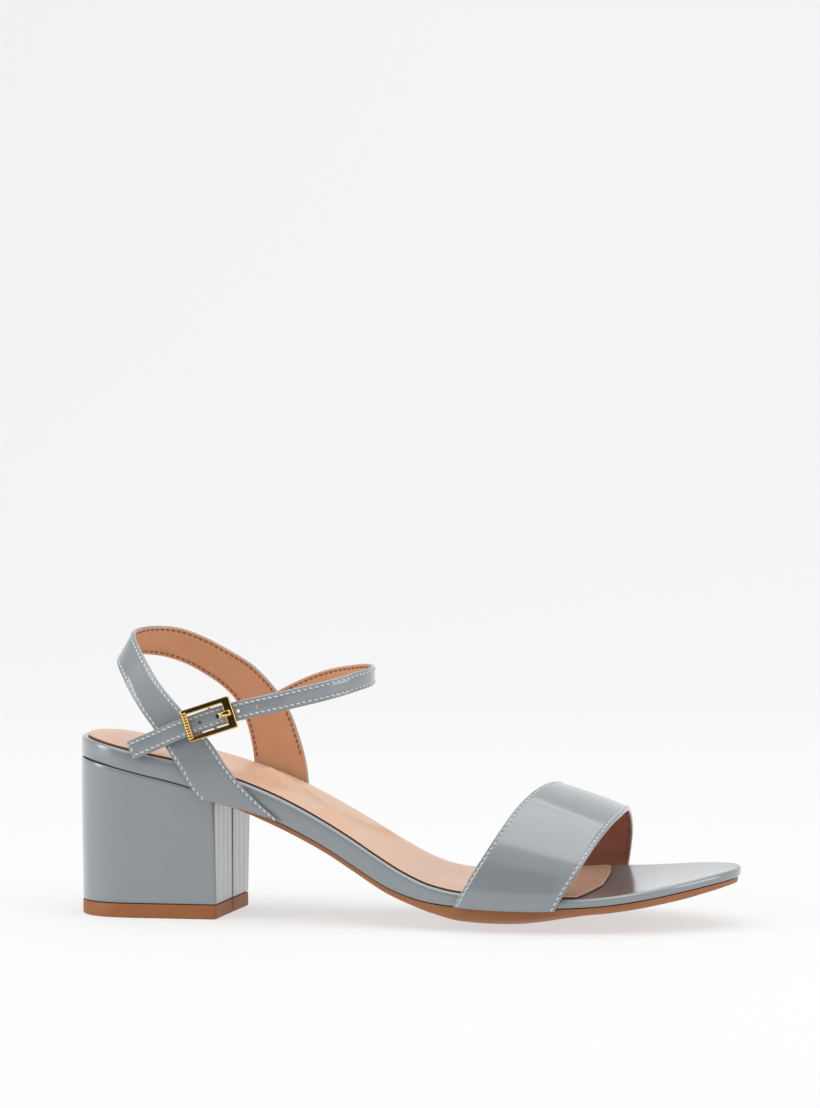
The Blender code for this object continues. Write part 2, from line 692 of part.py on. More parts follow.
def rounded_box(left, right, low, high, radius, per_corner):
    """Points of a rectangle with round corners, anticlockwise from the lower right one."""
    points = []
    centres = ((right - radius, low + radius), (right - radius, high - radius))
    centres += ((left + radius, high - radius), (left + radius, low + radius))
    for corner, (cx, cy) in enumerate(centres):
        for k in range(per_corner):
            a = math.pi / 2 * (corner - 1 + k / (per_corner - 1))
            points.append((cx + radius * math.cos(a), cy + radius * math.sin(a)))
    return points


def make_buckle_frame(look):
    left, right = -BUCKLE_LENGTH / 2, BUCKLE_LENGTH / 2
    low, high = -BUCKLE_HEIGHT / 2, BUCKLE_HEIGHT / 2
    bevel = 0.35
    deep, shallow = FRAME_DEPTH - BUCKLE_THICK / 2, FRAME_DEPTH + BUCKLE_THICK / 2
    loops = []
    for inset, depth in ((bevel, deep), (0.0, deep + bevel), (0.0, shallow - bevel), (bevel, shallow)):
        box = rounded_box(left + inset, right - inset, low + inset, high - inset, 2.0 - inset, 5)
        loops.append(np.array([place(a, b, depth) for a, b in box]))
    for inset, depth in ((bevel, shallow), (0.0, shallow - bevel), (0.0, deep + bevel), (bevel, deep)):
        box = rounded_box(
            left + BAR_LEFT - inset,
            right - BAR_RIGHT + inset,
            low + BAR_SIDE - inset,
            high - BAR_SIDE + inset,
            0.6 + inset,
            5,
        )
        loops.append(np.array([place(a, b, depth) for a, b in box]))
    loops.append(loops[0])
    frame = rings_to_solid("buckle_frame", loops, look)
    reach = high - BAR_SIDE / 2
    bend = 0.9
    path = [(reach, FRAME_DEPTH), (reach, BAR_DEPTH + bend)]
    for k in (1, 2):
        a = math.pi / 4 * k
        path.append((reach - bend * (1 - math.cos(a)), BAR_DEPTH + bend * (1 - math.sin(a))))
    path += [(-up, out) for up, out in path[::-1]]
    sections = []
    for k, (up, out) in enumerate(path):
        before = path[max(k - 1, 0)]
        after = path[min(k + 1, len(path) - 1)]
        heading = np.array([after[0] - before[0], after[1] - before[1]])
        heading = heading / np.linalg.norm(heading)
        ring = []
        for a in np.linspace(0, 2 * math.pi, 9)[:-1]:
            side = CENTRE_BAR * math.cos(a)
            along = CENTRE_BAR * math.sin(a)
            ring.append(place(along, up - heading[1] * side, out + heading[0] * side))
        sections.append(np.array(ring))
    bar = tube_to_solid("centre_bar", sections, look)
    return joined(frame, bar, "UNION")


def make_buckle_prong(look):
    """A flat pin that hooks round the centre bar, passes through the strap and rests on the frame."""
    radius = CENTRE_BAR + GAP + PRONG_THICK / 2
    rest = FRAME_DEPTH + BUCKLE_THICK / 2 + 0.15 + PRONG_THICK / 2
    path = []
    for a in np.radians(np.arange(200, 331, 26)):
        path.append((radius * math.cos(a), BAR_DEPTH + radius * math.sin(a)))
    path.append((PRONG_HOLE - 0.95, -NARROW_STRAP / 2 - 0.3))
    path.append((PRONG_HOLE + 0.1, NARROW_STRAP / 2 - 0.1))
    path.append((PRONG_HOLE + 0.95, rest - 0.25))
    path.append((PRONG_HOLE + 1.9, rest))
    path.append((PRONG_REACH - 0.5, rest))
    path.append((PRONG_REACH, rest - 0.1))
    path = np.array(path)
    sections = []
    heading = np.gradient(path, axis=0)
    heading /= np.linalg.norm(heading, axis=1)[:, None]
    for k, (along, out) in enumerate(path):
        half = PRONG_THICK / 2 * (0.8 if k == len(path) - 1 else 1.0)
        across = PRONG_WIDTH / 2 * (0.85 if k == len(path) - 1 else 1.0)
        ring = []
        for up, lift in ((-1, -1), (1, -1), (1, 0.5), (0.6, 1), (-0.6, 1), (-1, 0.5)):
            move = lift * half
            ring.append(
                place(along - heading[k][1] * move, up * across, out + heading[k][0] * move)
            )
        sections.append(np.array(ring))
    return tube_to_solid("buckle_prong", sections, look)


def quarter_front(up_mm):
    """How far behind the centre bar the heel strap's front edge lies, at a height across the strap."""
    grid = strap_grid(QUARTER, "low", "up", HEEL_STRAP_RISE, 201, 2, rounded=False)
    edge = grid[:80, -1] - BUCKLE_AT
    return np.interp(up_mm, edge @ UP, edge @ LEAN)


def make_buckle_chape(look):
    """A folded tab from the heel strap's front edge round the centre bar, slotted for the prong."""
    inner = CENTRE_BAR + GAP
    outer = inner + CHAPE_THICK
    turn = np.radians(np.linspace(90, -90, 9))
    ends = []
    for up in np.linspace(-CHAPE_WIDTH / 2, CHAPE_WIDTH / 2, 7):
        start = quarter_front(up) + GAP + 0.55
        points = [(start, BAR_DEPTH - inner), (start, BAR_DEPTH - outer)]
        points += [(outer * math.cos(a), BAR_DEPTH + outer * math.sin(a)) for a in turn[::-1]]
        points += [(-CHAPE_FOLD, BAR_DEPTH + outer), (-CHAPE_FOLD, BAR_DEPTH + inner)]
        points += [(inner * math.cos(a), BAR_DEPTH + inner * math.sin(a)) for a in turn]
        ends.append(np.array([place(a, up, b) for a, b in points]))
    chape = tube_to_solid("buckle_chape", ends, look)
    box = rounded_box(-1.9, 3.0, -SLOT_WIDTH / 2, SLOT_WIDTH / 2, 0.4, 3)
    cut = [np.array([place(a, b, d) for a, b in box]) for d in (BAR_DEPTH - 3, BAR_DEPTH + 3)]
    return joined(chape, tube_to_solid("slot", cut, look), "DIFFERENCE")


def centre_on_floor():
    """Moves every piece so that the whole stands on the floor with its box centred on the origin."""
    corners = np.array([v.co for o in bpy.data.objects if o.type == "MESH" for v in o.data.vertices])
    middle = (corners.min(0) + corners.max(0)) / 2
    for obj in bpy.data.objects:
        for vertex in obj.data.vertices:
            vertex.co.x -= middle[0]
            vertex.co.y -= middle[1]
        obj.data.update()


def main():
    for obj in list(bpy.data.objects):
        bpy.data.objects.remove(obj)
    patent = material("grey_patent_leather", (0.27, 0.30, 0.31), 0.18, coat=1.0)
    padded = material("beige_lining_leather", (0.80, 0.58, 0.43), 0.55)
    sheet = material("tan_rubber_sheet", (0.34, 0.16, 0.08), 0.6)
    lift = material("tan_rubber_lift", (0.33, 0.19, 0.09), 0.6)
    gold = material("polished_pale_gold", (0.83, 0.60, 0.28), 0.15, metal=1.0)
    make_outsole(sheet)
    make_footbed(patent)
    make_sock(padded)
    make_heel_block(patent)
    make_top_lift(lift)
    make_vamp(patent)
    make_heel_and_ankle_strap(patent)
    make_buckle_frame(gold)
    make_buckle_prong(gold)
    make_buckle_chape(patent)
    centre_on_floor()


main()
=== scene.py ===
"""Block heel sandal: the dressed pieces with their leathers, threads and metal, and the stage."""

import math

import bmesh
import bpy
import numpy as np
from bpy.props import FloatProperty, FloatVectorProperty, IntProperty, PointerProperty
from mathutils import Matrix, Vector


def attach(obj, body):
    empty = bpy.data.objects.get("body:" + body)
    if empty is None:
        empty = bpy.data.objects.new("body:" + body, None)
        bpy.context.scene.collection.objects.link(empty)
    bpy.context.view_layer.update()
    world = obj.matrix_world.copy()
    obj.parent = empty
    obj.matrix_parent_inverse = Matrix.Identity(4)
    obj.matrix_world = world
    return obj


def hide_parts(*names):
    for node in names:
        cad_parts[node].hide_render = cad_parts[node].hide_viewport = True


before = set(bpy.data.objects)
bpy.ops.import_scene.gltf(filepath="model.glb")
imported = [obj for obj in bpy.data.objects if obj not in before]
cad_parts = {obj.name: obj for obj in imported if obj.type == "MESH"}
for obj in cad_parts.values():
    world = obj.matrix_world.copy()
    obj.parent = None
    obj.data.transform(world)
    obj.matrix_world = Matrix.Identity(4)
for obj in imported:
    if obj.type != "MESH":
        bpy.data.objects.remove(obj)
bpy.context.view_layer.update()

bl_info = {
    "name": "Block heel sandal",
    "version": (1, 0, 0),
    "blender": (4, 5, 0),
    "location": "View3D > Sidebar > Sandal",
    "description": "Builds the dressed pieces of a block heel sandal over its frame",
    "category": "Object",
}

# Sizes of the shoe that its pieces are fitted to, in millimetres unless the name says otherwise

LENGTH = 237.0
BALL_WIDTH = 74.5
BALL_TOP = 12.3
HEEL_RISE = 51.9
TOE_RISE = 8.1
BALL_TILT = 3.0
BAND_HEIGHT = 8.7
SOLE_THICK = 4.4
BELLY_SHIFT = 0.3
BELLY_OVER = 1.42
CUP_DEPTH = 2.5
GAP = 0.3
HEEL_ROUND = 0.105
HEEL_POWER = 2.3
TOE_ROUND = 0.22
TOE_POWER = 2.2
RIM_RADIUS = 1.5
SPINE_MARGIN = 23.0
SOCK_INSET = 2.4
SOCK_RIM = 1.6  # width of the rounded edge of the sock
SOCK_PAD = 1.3  # how much the sock's middle stands over its edge
SOCK_END = 0.7945
SOCK_ROUND = 0.0185
SOCK_POWERS = (0.8, 3.2)
SOLE_INSET = 1.0
BELLY_SHARE = 0.7
VAMP_RISE = 34.9
HEEL_STRAP_RISE = 42.6
ANKLE_RISE = 21.6
ANKLE_OUT = 0.3826 * BALL_WIDTH
WIDE_STRAP = 1.6
NARROW_STRAP = 1.4
NARROW_WIDTH = 6.9
VAMP_BULGE = 0.5
LIFT_HEIGHT = 5.0
BLOCK_ROUND = 22.0
BLOCK_POWER = 2.5
BLOCK_TAPER = 0.05
BREAST_AT = 54.4
BREAST_SKEW = 1.2
BREAST_SEAM = 0.9
BREAST_SEAM_WIDE = 0.55
CORNER = 1.4
BUCKLE_LENGTH = 18.4
BUCKLE_HEIGHT = 11.6
BUCKLE_THICK = 1.5
BAR_LEFT = 1.8
BAR_RIGHT = 3.2
BAR_SIDE = 1.9
CENTRE_BAR = 0.55
BAR_BEND = 0.9
FRAME_BEVEL = 0.32
FRAME_ROUND = 0.75
WINDOW_ROUND = 0.25
BUCKLE_ROW = 5
PRONG_WIDTH = 1.5
PRONG_THICK = 1.0
PRONG_HOLE = 3.6
PRONG_REACH = 8.2
PRONG_HOLE_LONG = 1.15
PRONG_HOLE_WIDE = 0.95
CHAPE_WIDTH = 5.8
CHAPE_THICK = 0.8
CHAPE_FOLD = 2.6
SLOT_WIDTH = 2.2
HOLE_PITCH = 7.2
CUT_DEPTH = 2.5
RIB = (0.95, 0.4, 0.4)  # half sizes of a rib on the rear bar: across the bar, along it and outward
EDGE_TURN = 2.3  # how far round a strap edge the folded outer leather reaches, in radians
SLANT = 0.14  # how far each stitch leans off its seam at either end
RIPPLE = 0.035  # pull of the breast's cover beside its seam, as a share of the seam's depth
TIP_SEAM = 0.0065  # seam across the loose tip, as a share of the ankle strap
RIB_REACH = 4.5  # outermost rib from the middle of the rear bar
SWEEP_RADIUS = 2.4  # of the paper behind the shoe, in metres
TO_ROW = np.array([-118.5, 1.177, 0.0])  # from the heel back on the axis to the frame's origin


def table(text):
    """The columns of a table by name, from a line of names and a line for each section."""
    lines = [line.split() for line in text.strip().splitlines()]
    rows = np.array([[float(word) for word in line] for line in lines[1:]])
    return {name: rows[:, i] for i, name in enumerate(lines[0])}


# Half widths of the footbed, as shares of BALL_WIDTH
PLAN = table("""
along lateral medial
    0    .344   .337
   .1    .346   .339
   .2    .351   .336
   .3    .361   .316
   .4    .386   .294
   .5     .44   .312
   .6    .494   .376
  .68    .518   .445
  .74    .515   .482
   .8    .494   .489
  .88    .452   .463
  .95     .38   .396
    1     .31    .33
""")

# Side view, as shares of the sizes that each column follows
PROFILE = table("""
along climb spring tilt band sole belly cup  pad
    0     1      0    0 .828 .455     0   0    1
  .04  .969      0    0 .828 .455     0 .36    1
  .08  .931      0    0 .839 .455     0 .64 .938
  .12  .893      0    0 .862 .455     0  .8 .844
  .16  .857      0    0 .885 .455     0  .8 .781
   .2  .813      0    0 .908 .455     0 .76 .719
  .24  .762      0    0 .943 .455     0 .68 .688
  .28  .702      0    0 .977 .455  .017  .6 .625
  .32   .63      0    0    1 .455  .034 .52 .625
  .36  .545      0    0 .989 .455  .086 .48 .625
   .4  .449      0    0 .977 .455  .138 .48 .625
  .44  .345      0    0    1 .455  .207 .52 .625
  .48  .235      0    0 .977 .477  .293 .56 .625
  .52  .135      0 .033 .839 .523  .414 .68 .625
  .56  .063      0 .167 .667 .705  .672  .8 .625
   .6  .027      0 .367 .552 .955  .914 .92 .625
  .64  .012      0 .533 .494    1  .948   1 .625
  .68  .004      0   .7 .437 .977     1   1 .625
  .72     0      0 .867 .391 .841  .948   1 .625
  .76     0   .016    1 .368 .636  .845 .92 .625
   .8     0   .066  1.1 .356 .523  .707  .8 .625
  .84     0    .19 .933 .356 .545  .534  .6 .625
  .88     0    .38 .733 .368 .545  .414 .44 .625
  .92     0    .59   .6 .368 .545  .276 .28 .625
  .96     0    .81 .433 .368 .455  .155 .16 .625
    1     0   1.03   .2 .368 .318  .052 .08 .625
""")

# Edges of the wide band over the toes, from its lateral foot to its medial foot
VAMP = table("""
  side back_along back_rise front_along front_rise
    -1      .5975      -.14       .7477      -.117
-1.005      .6089      .003       .7595       .026
 -.985      .6291      .252       .7755       .198
 -.935      .6468       .45       .7857       .307
 -.835      .6633      .639        .797        .43
 -.675      .6806      .825       .8093       .553
  -.45       .697      .951       .8203       .645
   -.2      .7089         1       .8278       .685
   .05      .7156      .997       .8295       .691
    .3       .719      .957       .8283       .668
   .55      .7181      .862       .8253       .593
   .75      .7127      .719       .8232       .473
  .885       .703      .533       .8207       .324
   .96      .6911      .304       .8165       .149
     1      .6785      .074       .8127       .009
     1      .6675      -.12       .8101        -.1
""")

# Edges of the heel strap, from its lateral foot round the back to its medial foot
QUARTER = table("""
 side low_along low_rise up_along up_rise
   -1     .2089    -.249    .3295   -.188
   -1     .1924    -.178    .3017   -.124
   -1     .1852    -.127    .2734   -.035
-.998     .1759    -.054    .2485    .089
-.985     .1641     .023    .2274    .223
-.955     .1519     .108     .211      .3
-.905     .1342     .221    .1916    .371
-.835     .1114     .347    .1624    .491
 -.72     .0899     .479    .1346     .62
 -.56     .0743     .577    .1122    .751
 -.35     .0616     .638    .0945    .847
 -.12     .0557     .667    .0806     .92
  .11     .0561     .692    .0772    .946
  .33     .0641     .709    .0844    .969
  .54     .0819     .725     .103    .993
   .7     .1055     .725      .13       1
  .81     .1316       .7    .1637    .962
  .88     .1603     .643       .2    .901
  .93      .189     .568     .238    .826
 .965     .2101     .472    .2726     .69
  .99     .2245     .329    .2941    .552
    1     .2338     .148    .3097    .366
    1      .238        0    .3207    .171
    1     .2397    -.204    .3283   -.185
""")

# Middle line of the ankle strap, from its loose tip through the buckle and round to the heel strap
ANKLE = table("""
along    out  above
.0996  -.958 -.1944
.1224  -.961 -.0926
.1485  -.975  .0324
.1755  -.993   .162
   .2     -1  .2593
.2249     -1  .3565
.2473     -1  .4329
.2722 -1.004  .5046
.2996  -.996  .5741
.3291  -.968  .6481
.3574  -.909  .7222
.3861  -.807  .7963
.4114  -.646  .8704
.4321  -.414  .9398
.4439  -.133  .9815
.4422   .168      1
 .427   .449  .9954
.3979   .674  .9491
.3629   .814  .8704
.3291   .884  .7454
.2954   .923  .5741
.2624   .926  .3657
.2304   .919  .1528
""")

# Heel block from its lift up
BLOCK = table("""
level  back lateral medial
    0 .0017   .3007  .2886
  .25 .0013   .3074  .2953
   .5 .0008   .3154  .3034
  .75 .0008   .3262  .3128
    1 .0013   .3383  .3235
""")

# Soft ridges pressed into the sock over the arch, in plan from the heel back and from the axis
ARCH_RIDGES = (
    ((66.0, 10.0), (74.5, 4.1), (80.8, 0.4), (87.6, -5.3), (93.2, -11.2), (98.5, -19.0), (104.0, -25.0)),
    ((84.0, -30.0), (89.0, -24.0), (94.0, -13.0), (98.4, -5.0), (103.6, 1.5), (107.8, 7.8), (112.0, 14.0)),
)


def smooth(places, values, steady=True):
    """A cubic through the rows of a column. Steady keeps it from swinging past them."""
    steps = np.diff(places)
    slopes = np.diff(values) / steps
    bends = np.empty(len(places))
    bends[0] = slopes[0]
    bends[-1] = slopes[-1]
    for i in range(1, len(places) - 1):
        before, after = slopes[i - 1], slopes[i]
        if not steady:
            bends[i] = (steps[i] * before + steps[i - 1] * after) / (steps[i] + steps[i - 1])
        elif before * after <= 0:
            bends[i] = 0.0
        else:
            wide = 2 * steps[i] + steps[i - 1]
            narrow = steps[i] + 2 * steps[i - 1]
            bends[i] = (wide + narrow) / (wide / before + narrow / after)

    def at(place):
        place = np.clip(place, places[0], places[-1])
        i = np.clip(np.searchsorted(places, place, side="right") - 1, 0, len(steps) - 1)
        t = (place - places[i]) / steps[i]
        start = values[i] * (1 + 2 * t) * (1 - t) ** 2 + bends[i] * steps[i] * t * (1 - t) ** 2
        end = values[i + 1] * t * t * (3 - 2 * t) + bends[i + 1] * steps[i] * t * t * (t - 1)
        return start + end

    return at


plan = {name: smooth(PLAN["along"], PLAN[name]) for name in ("lateral", "medial")}
profile = {name: smooth(PROFILE["along"], PROFILE[name]) for name in PROFILE if name != "along"}


def edge_off_floor(share):
    """Height of the outsole's lateral lower edge."""
    top = BALL_TOP + HEEL_RISE * profile["climb"](share) + TOE_RISE * profile["spring"](share)
    return top - BAND_HEIGHT * profile["band"](share) - GAP - SOLE_THICK * profile["sole"](share)


BALL_AT = PROFILE["along"][np.argmax(PROFILE["belly"])]
BELLY_DROP = BELLY_OVER * edge_off_floor(BALL_AT)


def half_width(x, side, rounded=True, inset=0.0):
    """Half width of the footbed at x, less an inset all round: side under 0 is lateral, over 0 medial."""
    share = np.clip(x / LENGTH, 0.0, 1.0)
    wide = BALL_WIDTH * np.where(side < 0, plan["lateral"](share), plan["medial"](share)) - inset
    if not rounded:
        return wide
    heel = np.clip(1 - (x - inset) / (HEEL_ROUND * LENGTH - inset), 0, 1)
    toe = np.clip((x - LENGTH + TOE_ROUND * LENGTH) / (TOE_ROUND * LENGTH - inset), 0, 1)
    ends = (1 - heel**HEEL_POWER) ** (1 / HEEL_POWER) * (1 - toe**TOE_POWER) ** (1 / TOE_POWER)
    return wide * ends


def rim_top(x, side=-1.0):
    """Height of the footbed's rim, side being -1 on the lateral rim and 1 on the medial one."""
    share = x / LENGTH
    level = BALL_TOP + HEEL_RISE * profile["climb"](share) + TOE_RISE * profile["spring"](share)
    return level + BALL_TILT * profile["tilt"](share) * (1 + np.clip(side, -1, 1)) / 2


def band_low(x, side=-1.0):
    return rim_top(x, side) - BAND_HEIGHT * profile["band"](x / LENGTH)


def side_of(x, y):
    """-1 on the lateral rim, 0 on the axis, 1 on the medial rim."""
    return np.clip(y / np.maximum(half_width(x, y), 1e-6), -1, 1)


def footbed_top(x, y):
    side = side_of(x, y)
    return rim_top(x, side) - CUP_DEPTH * profile["cup"](x / LENGTH) * (1 - side**2)


def belly_drop(x, side):
    """How far the outsole's underside bulges below a straight line from edge to edge."""
    reach = np.where(side < BELLY_SHIFT, 1 + BELLY_SHIFT, 1 - BELLY_SHIFT)
    return BELLY_DROP * profile["belly"](x / LENGTH) * (1 - ((side - BELLY_SHIFT) / reach) ** 2)


def footbed_under(x, y):
    side = side_of(x, y)
    return band_low(x, side) - BELLY_SHARE * belly_drop(x, side)


def sole_under(x, y):
    """Underside of the outsole, flat where it meets the floor."""
    side = side_of(x, y)
    edge = band_low(x, side) - GAP - SOLE_THICK * profile["sole"](x / LENGTH)
    return np.maximum(edge - belly_drop(x, side), 0.0)


def linear(hex_colour):
    """An sRGB hex value as linear red, green and blue."""
    channels = [int(hex_colour[i : i + 2], 16) / 255 for i in (1, 3, 5)]
    return tuple(c / 12.92 if c <= 0.04045 else ((c + 0.055) / 1.055) ** 2.4 for c in channels)


def per_mm(size):
    """Texture scale that repeats a pattern every size millimetres."""
    return 1000.0 / size


def shade(colour, factor):
    return (*[min(1.0, c * factor) for c in colour], 1.0)


def length(name, description, default):
    return FloatProperty(name=name, description=description, default=default, unit="LENGTH")


def tone(name, description, default):
    return FloatVectorProperty(name=name, description=description, default=linear(default), subtype="COLOR")


class SandalSizes(bpy.types.PropertyGroup):
    stitch_pitch: length("Stitch pitch", "From one stitch to the next", 0.0021)
    stitch_length: length("Stitch length", "Length of thread that shows", 0.0016)
    thread_width: length("Thread width", "Thickness of the sewing thread", 0.0006)
    seam_inset: length("Seam inset", "From a strap's edge to its seam", 0.0013)
    seam_depth: length("Seam depth", "How deep thread sinks the leather", 0.00022)
    hole_width: length("Hole width", "Width of the strap's punched holes", 0.0013)
    ridge_height: length("Ridge height", "Ridges of the sock at the arch", 0.0017)
    rib_count: IntProperty(
        name="Ribs", description="Ribs on the buckle's rear bar", default=10, min=0, max=12
    )


class SandalColours(bpy.types.PropertyGroup):
    patent: tone("Patent", "Grey-blue upper leather", "#7E8589")
    lining: tone("Lining", "Beige lining of the straps", "#C8926D")
    # The strap lining darkened, to paint the shade inside the toe band
    vamp_lining_painted_shade: tone("Vamp lining", "Lining of the toe band", "#97614A")
    sock: tone("Sock", "Padded sock leather", "#CFA88D")
    # Dark brown of the sock's side faces and of cut walls
    edge: tone("Edge", "Painted edge of the sock", "#7A4A30")
    outsole: tone("Outsole", "Tan outsole sheet", "#9A6238")
    lift: tone("Top lift", "Tan lift under the heel", "#965A2C")
    metal: tone("Buckle", "Pale gold plating", "#E8C078")
    thread: tone("Thread", "Upper thread", "#C9CCC9")
    under_thread: tone("Lining thread", "Thread on the lining", "#7E4E34")
    floor: tone("Floor", "Paper under the shoe", "#929292")


# Materials

NOISE, CELLS, WAVES = "ShaderNodeTexNoise", "ShaderNodeTexVoronoi", "ShaderNodeTexWave"
EVEN = (1.0, 1.0, 1.0)
WAVE_TURN = 2 * math.pi / 20  # a Wave texture turns 20 radians for each unit of its scale


def add_node(tree, kind, sockets=None, **settings):
    """Adds one node. A socket's value is a number, a colour or another node's output."""
    node = tree.nodes.new(kind)
    for name, value in settings.items():
        setattr(node, name, value)
    for name, value in (sockets or {}).items():
        if isinstance(value, bpy.types.NodeSocket):
            tree.links.new(value, node.inputs[name])
        else:
            node.inputs[name].default_value = value
    return node


def make_material(name, colour, clouds, relief=(), **constants):
    """A Principled material with clouds of its colour and raised textures.

    clouds is their size in millimetres and the darkest and lightest share of the colour. Each row of
    relief, the lowest first, is a texture's kind, its size and depth in millimetres, the stretch of its
    space, its other sockets and its settings. The constants go on the shader's own sockets.
    """
    made = bpy.data.materials.new(name)
    made.use_nodes = True
    tree = made.node_tree
    surface = tree.nodes["Principled BSDF"]
    for key, value in constants.items():
        surface.inputs[key.replace("_", " ")].default_value = value
    place = add_node(tree, "ShaderNodeTexCoord").outputs["Object"]
    size, dark, light = clouds
    cloud = add_node(tree, NOISE, {"Vector": place, "Scale": per_mm(size), "Detail": 4.0})
    tones = {0: cloud.outputs[0], 6: shade(colour, dark), 7: shade(colour, light)}
    mixed = add_node(tree, "ShaderNodeMix", tones, data_type="RGBA")
    tree.links.new(mixed.outputs[2], surface.inputs["Base Color"])
    bump = None
    for kind, size, depth, stretch, sockets, *settings in relief:
        space = add_node(tree, "ShaderNodeMapping", {"Vector": place, "Scale": stretch}).outputs[0]
        scale = per_mm(size) * (WAVE_TURN if kind == WAVES else 1)
        texture = add_node(tree, kind, {"Vector": space, "Scale": scale, **sockets}, **dict(*settings))
        height = texture.outputs[1 if kind == WAVES else 0]
        rise = {"Height": height, "Distance": depth / 1000, "Strength": 1.0}
        if bump:
            rise["Normal"] = bump
        bump = add_node(tree, "ShaderNodeBump", rise).outputs["Normal"]
    for socket in ("Normal", "Coat Normal") if "Coat_Weight" in constants else ("Normal",):
        if bump:
            tree.links.new(bump, surface.inputs[socket])


def make_materials(colours):
    # Leather under a poured polyurethane film: even colour below a glassy skin that mirrors the studio,
    # bent a little by the leather's slow waves
    relief = ((NOISE, 7.0, 0.02, EVEN, {"Detail": 1.0}), (NOISE, 0.8, 0.002, EVEN, {"Detail": 2.0}))
    film = {"Coat_Weight": 1.0, "Coat_Roughness": 0.16, "Coat_IOR": 1.6}
    make_material("poured_patent", colours.patent, (14.0, 0.94, 1.05), relief, Roughness=0.3, IOR=1.5, **film)
    # Drum-dyed lining leather: matt, with fine pores and faint streaks from the splitting knife
    relief = ((NOISE, 2.4, 0.05, (1.0, 1.0, 6.0), {"Detail": 5.0}), (CELLS, 0.7, 0.03, EVEN, {}))
    dyed = {"Roughness": 0.52, "Sheen_Weight": 0.08, "IOR": 1.45}
    make_material("drum_dyed_lining", colours.lining, (5.0, 0.88, 1.08), relief, **dyed)
    # The same lining darkened: painted shade inside the toe band
    make_material("drum_dyed_vamp_lining", colours.vamp_lining_painted_shade, (5.0, 0.88, 1.08), relief, **dyed)
    # Smooth nappa stretched over thin foam: soft, slightly waxed, with a very fine grain
    relief = ((NOISE, 6.0, 0.10, EVEN, {"Detail": 2.0}), (CELLS, 0.6, 0.02, EVEN, {}))
    waxed = {"Roughness": 0.36, "Sheen_Weight": 0.05, "IOR": 1.45}
    make_material("sock_leather", colours.sock, (9.0, 0.95, 1.04), relief, **waxed)
    # Dark brown on the sock's side and on the walls of cuts: satin and slightly uneven
    relief = ((NOISE, 0.9, 0.03, EVEN, {"Detail": 3.0}),)
    make_material("edge_paint", colours.edge, (2.0, 0.8, 1.1), relief, Roughness=0.45)
    # Resin-rubber sheet with a leather look: semi-matt, faintly sanded along its edge
    relief = ((NOISE, 0.5, 0.03, (0.2, 0.2, 1.0), {"Detail": 3.0}),)
    make_material("outsole_sheet", colours.outsole, (6.0, 0.85, 1.12), relief, Roughness=0.5, IOR=1.5)
    # Moulded polyurethane lift: dense, matt, its side ground in level waves
    ground = {"Distortion": 1.5, "Detail": 2.0}
    relief = ((WAVES, 3.77, 0.02, EVEN, ground, {"bands_direction": "Z"}),)
    make_material("ground_lift_rubber", colours.lift, (3.0, 0.82, 1.1), relief, Roughness=0.55, IOR=1.5)
    # Pale gold plated on polished zinc: mirror bright, with hairline handling scratches
    relief = ((NOISE, 0.35, 0.003, (0.15, 1.0, 1.0), {"Detail": 3.0}),)
    make_material("pale_gold_plating", colours.metal, (8.0, 0.93, 1.03), relief, Metallic=1.0, Roughness=0.06)
    # Twisted polyester thread: soft sheen, with a strand's ridge for each stitch, as finer ones can't show
    relief = ((WAVES, 1.57, 0.03, EVEN, {"Distortion": 0.5}),)
    for name, colour in (("upper_thread", colours.thread), ("lining_thread", colours.under_thread)):
        make_material(name, colour, (1.5, 0.8, 1.08), relief, Roughness=0.5, Sheen_Weight=0.2)
    # Matt seamless paper, lit evenly from within as a lightbox is, with a barely visible tooth
    relief = ((NOISE, 1.2, 0.01, EVEN, {"Detail": 2.0}),)
    lit = {"Specular_IOR_Level": 0.1, "Emission_Color": (1.0, 1.0, 1.0, 1.0), "Emission_Strength": 0.6}
    make_material("studio_paper", colours.floor, (300.0, 0.99, 1.0), relief, Roughness=0.9, **lit)
    # Dyed black card: very dark and matt
    make_material("black_card", (0.012, 0.012, 0.012), (3.0, 0.9, 1.1), Roughness=0.9)


# Mesh building


def put(name, data):
    """A new object in the scene."""
    obj = bpy.data.objects.new(name, data)
    bpy.context.scene.collection.objects.link(obj)
    return obj


def mesh_of(name, points, faces, looks, which=0):
    """A mesh with its normals outward, from points in millimetres from the heel back on the floor."""
    mesh = bpy.data.meshes.new(name)
    mesh.from_pydata(((np.asarray(points, float) + TO_ROW) / 1000).tolist(), [], faces)
    for item in looks:
        mesh.materials.append(bpy.data.materials[item])
    indices = np.ascontiguousarray(np.broadcast_to(which, len(faces)), dtype=np.int32)
    mesh.polygons.foreach_set("material_index", indices)
    made = bmesh.new()
    made.from_mesh(mesh)
    bmesh.ops.remove_doubles(made, verts=made.verts, dist=2e-6)
    bmesh.ops.recalc_face_normals(made, faces=made.faces)
    made.to_mesh(mesh)
    made.free()
    return mesh


def soften(mesh, degrees=42):
    """Smooth shading that keeps real corners sharp."""
    mesh.shade_smooth()
    mesh.set_sharp_from_angle(angle=math.radians(degrees))


def make_piece(name, points, faces, looks, node=None, which=0):
    """A piece on the frame, standing for a node if one is named."""
    mesh = mesh_of(name, points, faces, looks, which)
    soften(mesh)
    obj = put(name, mesh)
    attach(obj, "root")
    if node:
        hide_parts(node)
    return obj


def lay(flat, surface, rise=0.0):
    """A ring of points in plan, raised to a surface and a little more."""
    return np.column_stack([flat, surface(*flat.T) + rise])


def make_lofted(name, rings, look, node=None, capped=True):
    points, faces, _ = loft(rings, capped)
    return make_piece(name, points, faces, [look], node)


def make_repeated(name, blocks, look):
    """One piece from many like blocks: an array of each block's rings of points."""
    points, faces, _ = loft(list(blocks[0]))
    faces = [tuple(k * len(points) + i for i in face) for k in range(len(blocks)) for face in faces]
    make_piece(name, blocks.reshape(-1, 3), faces, [look], None)


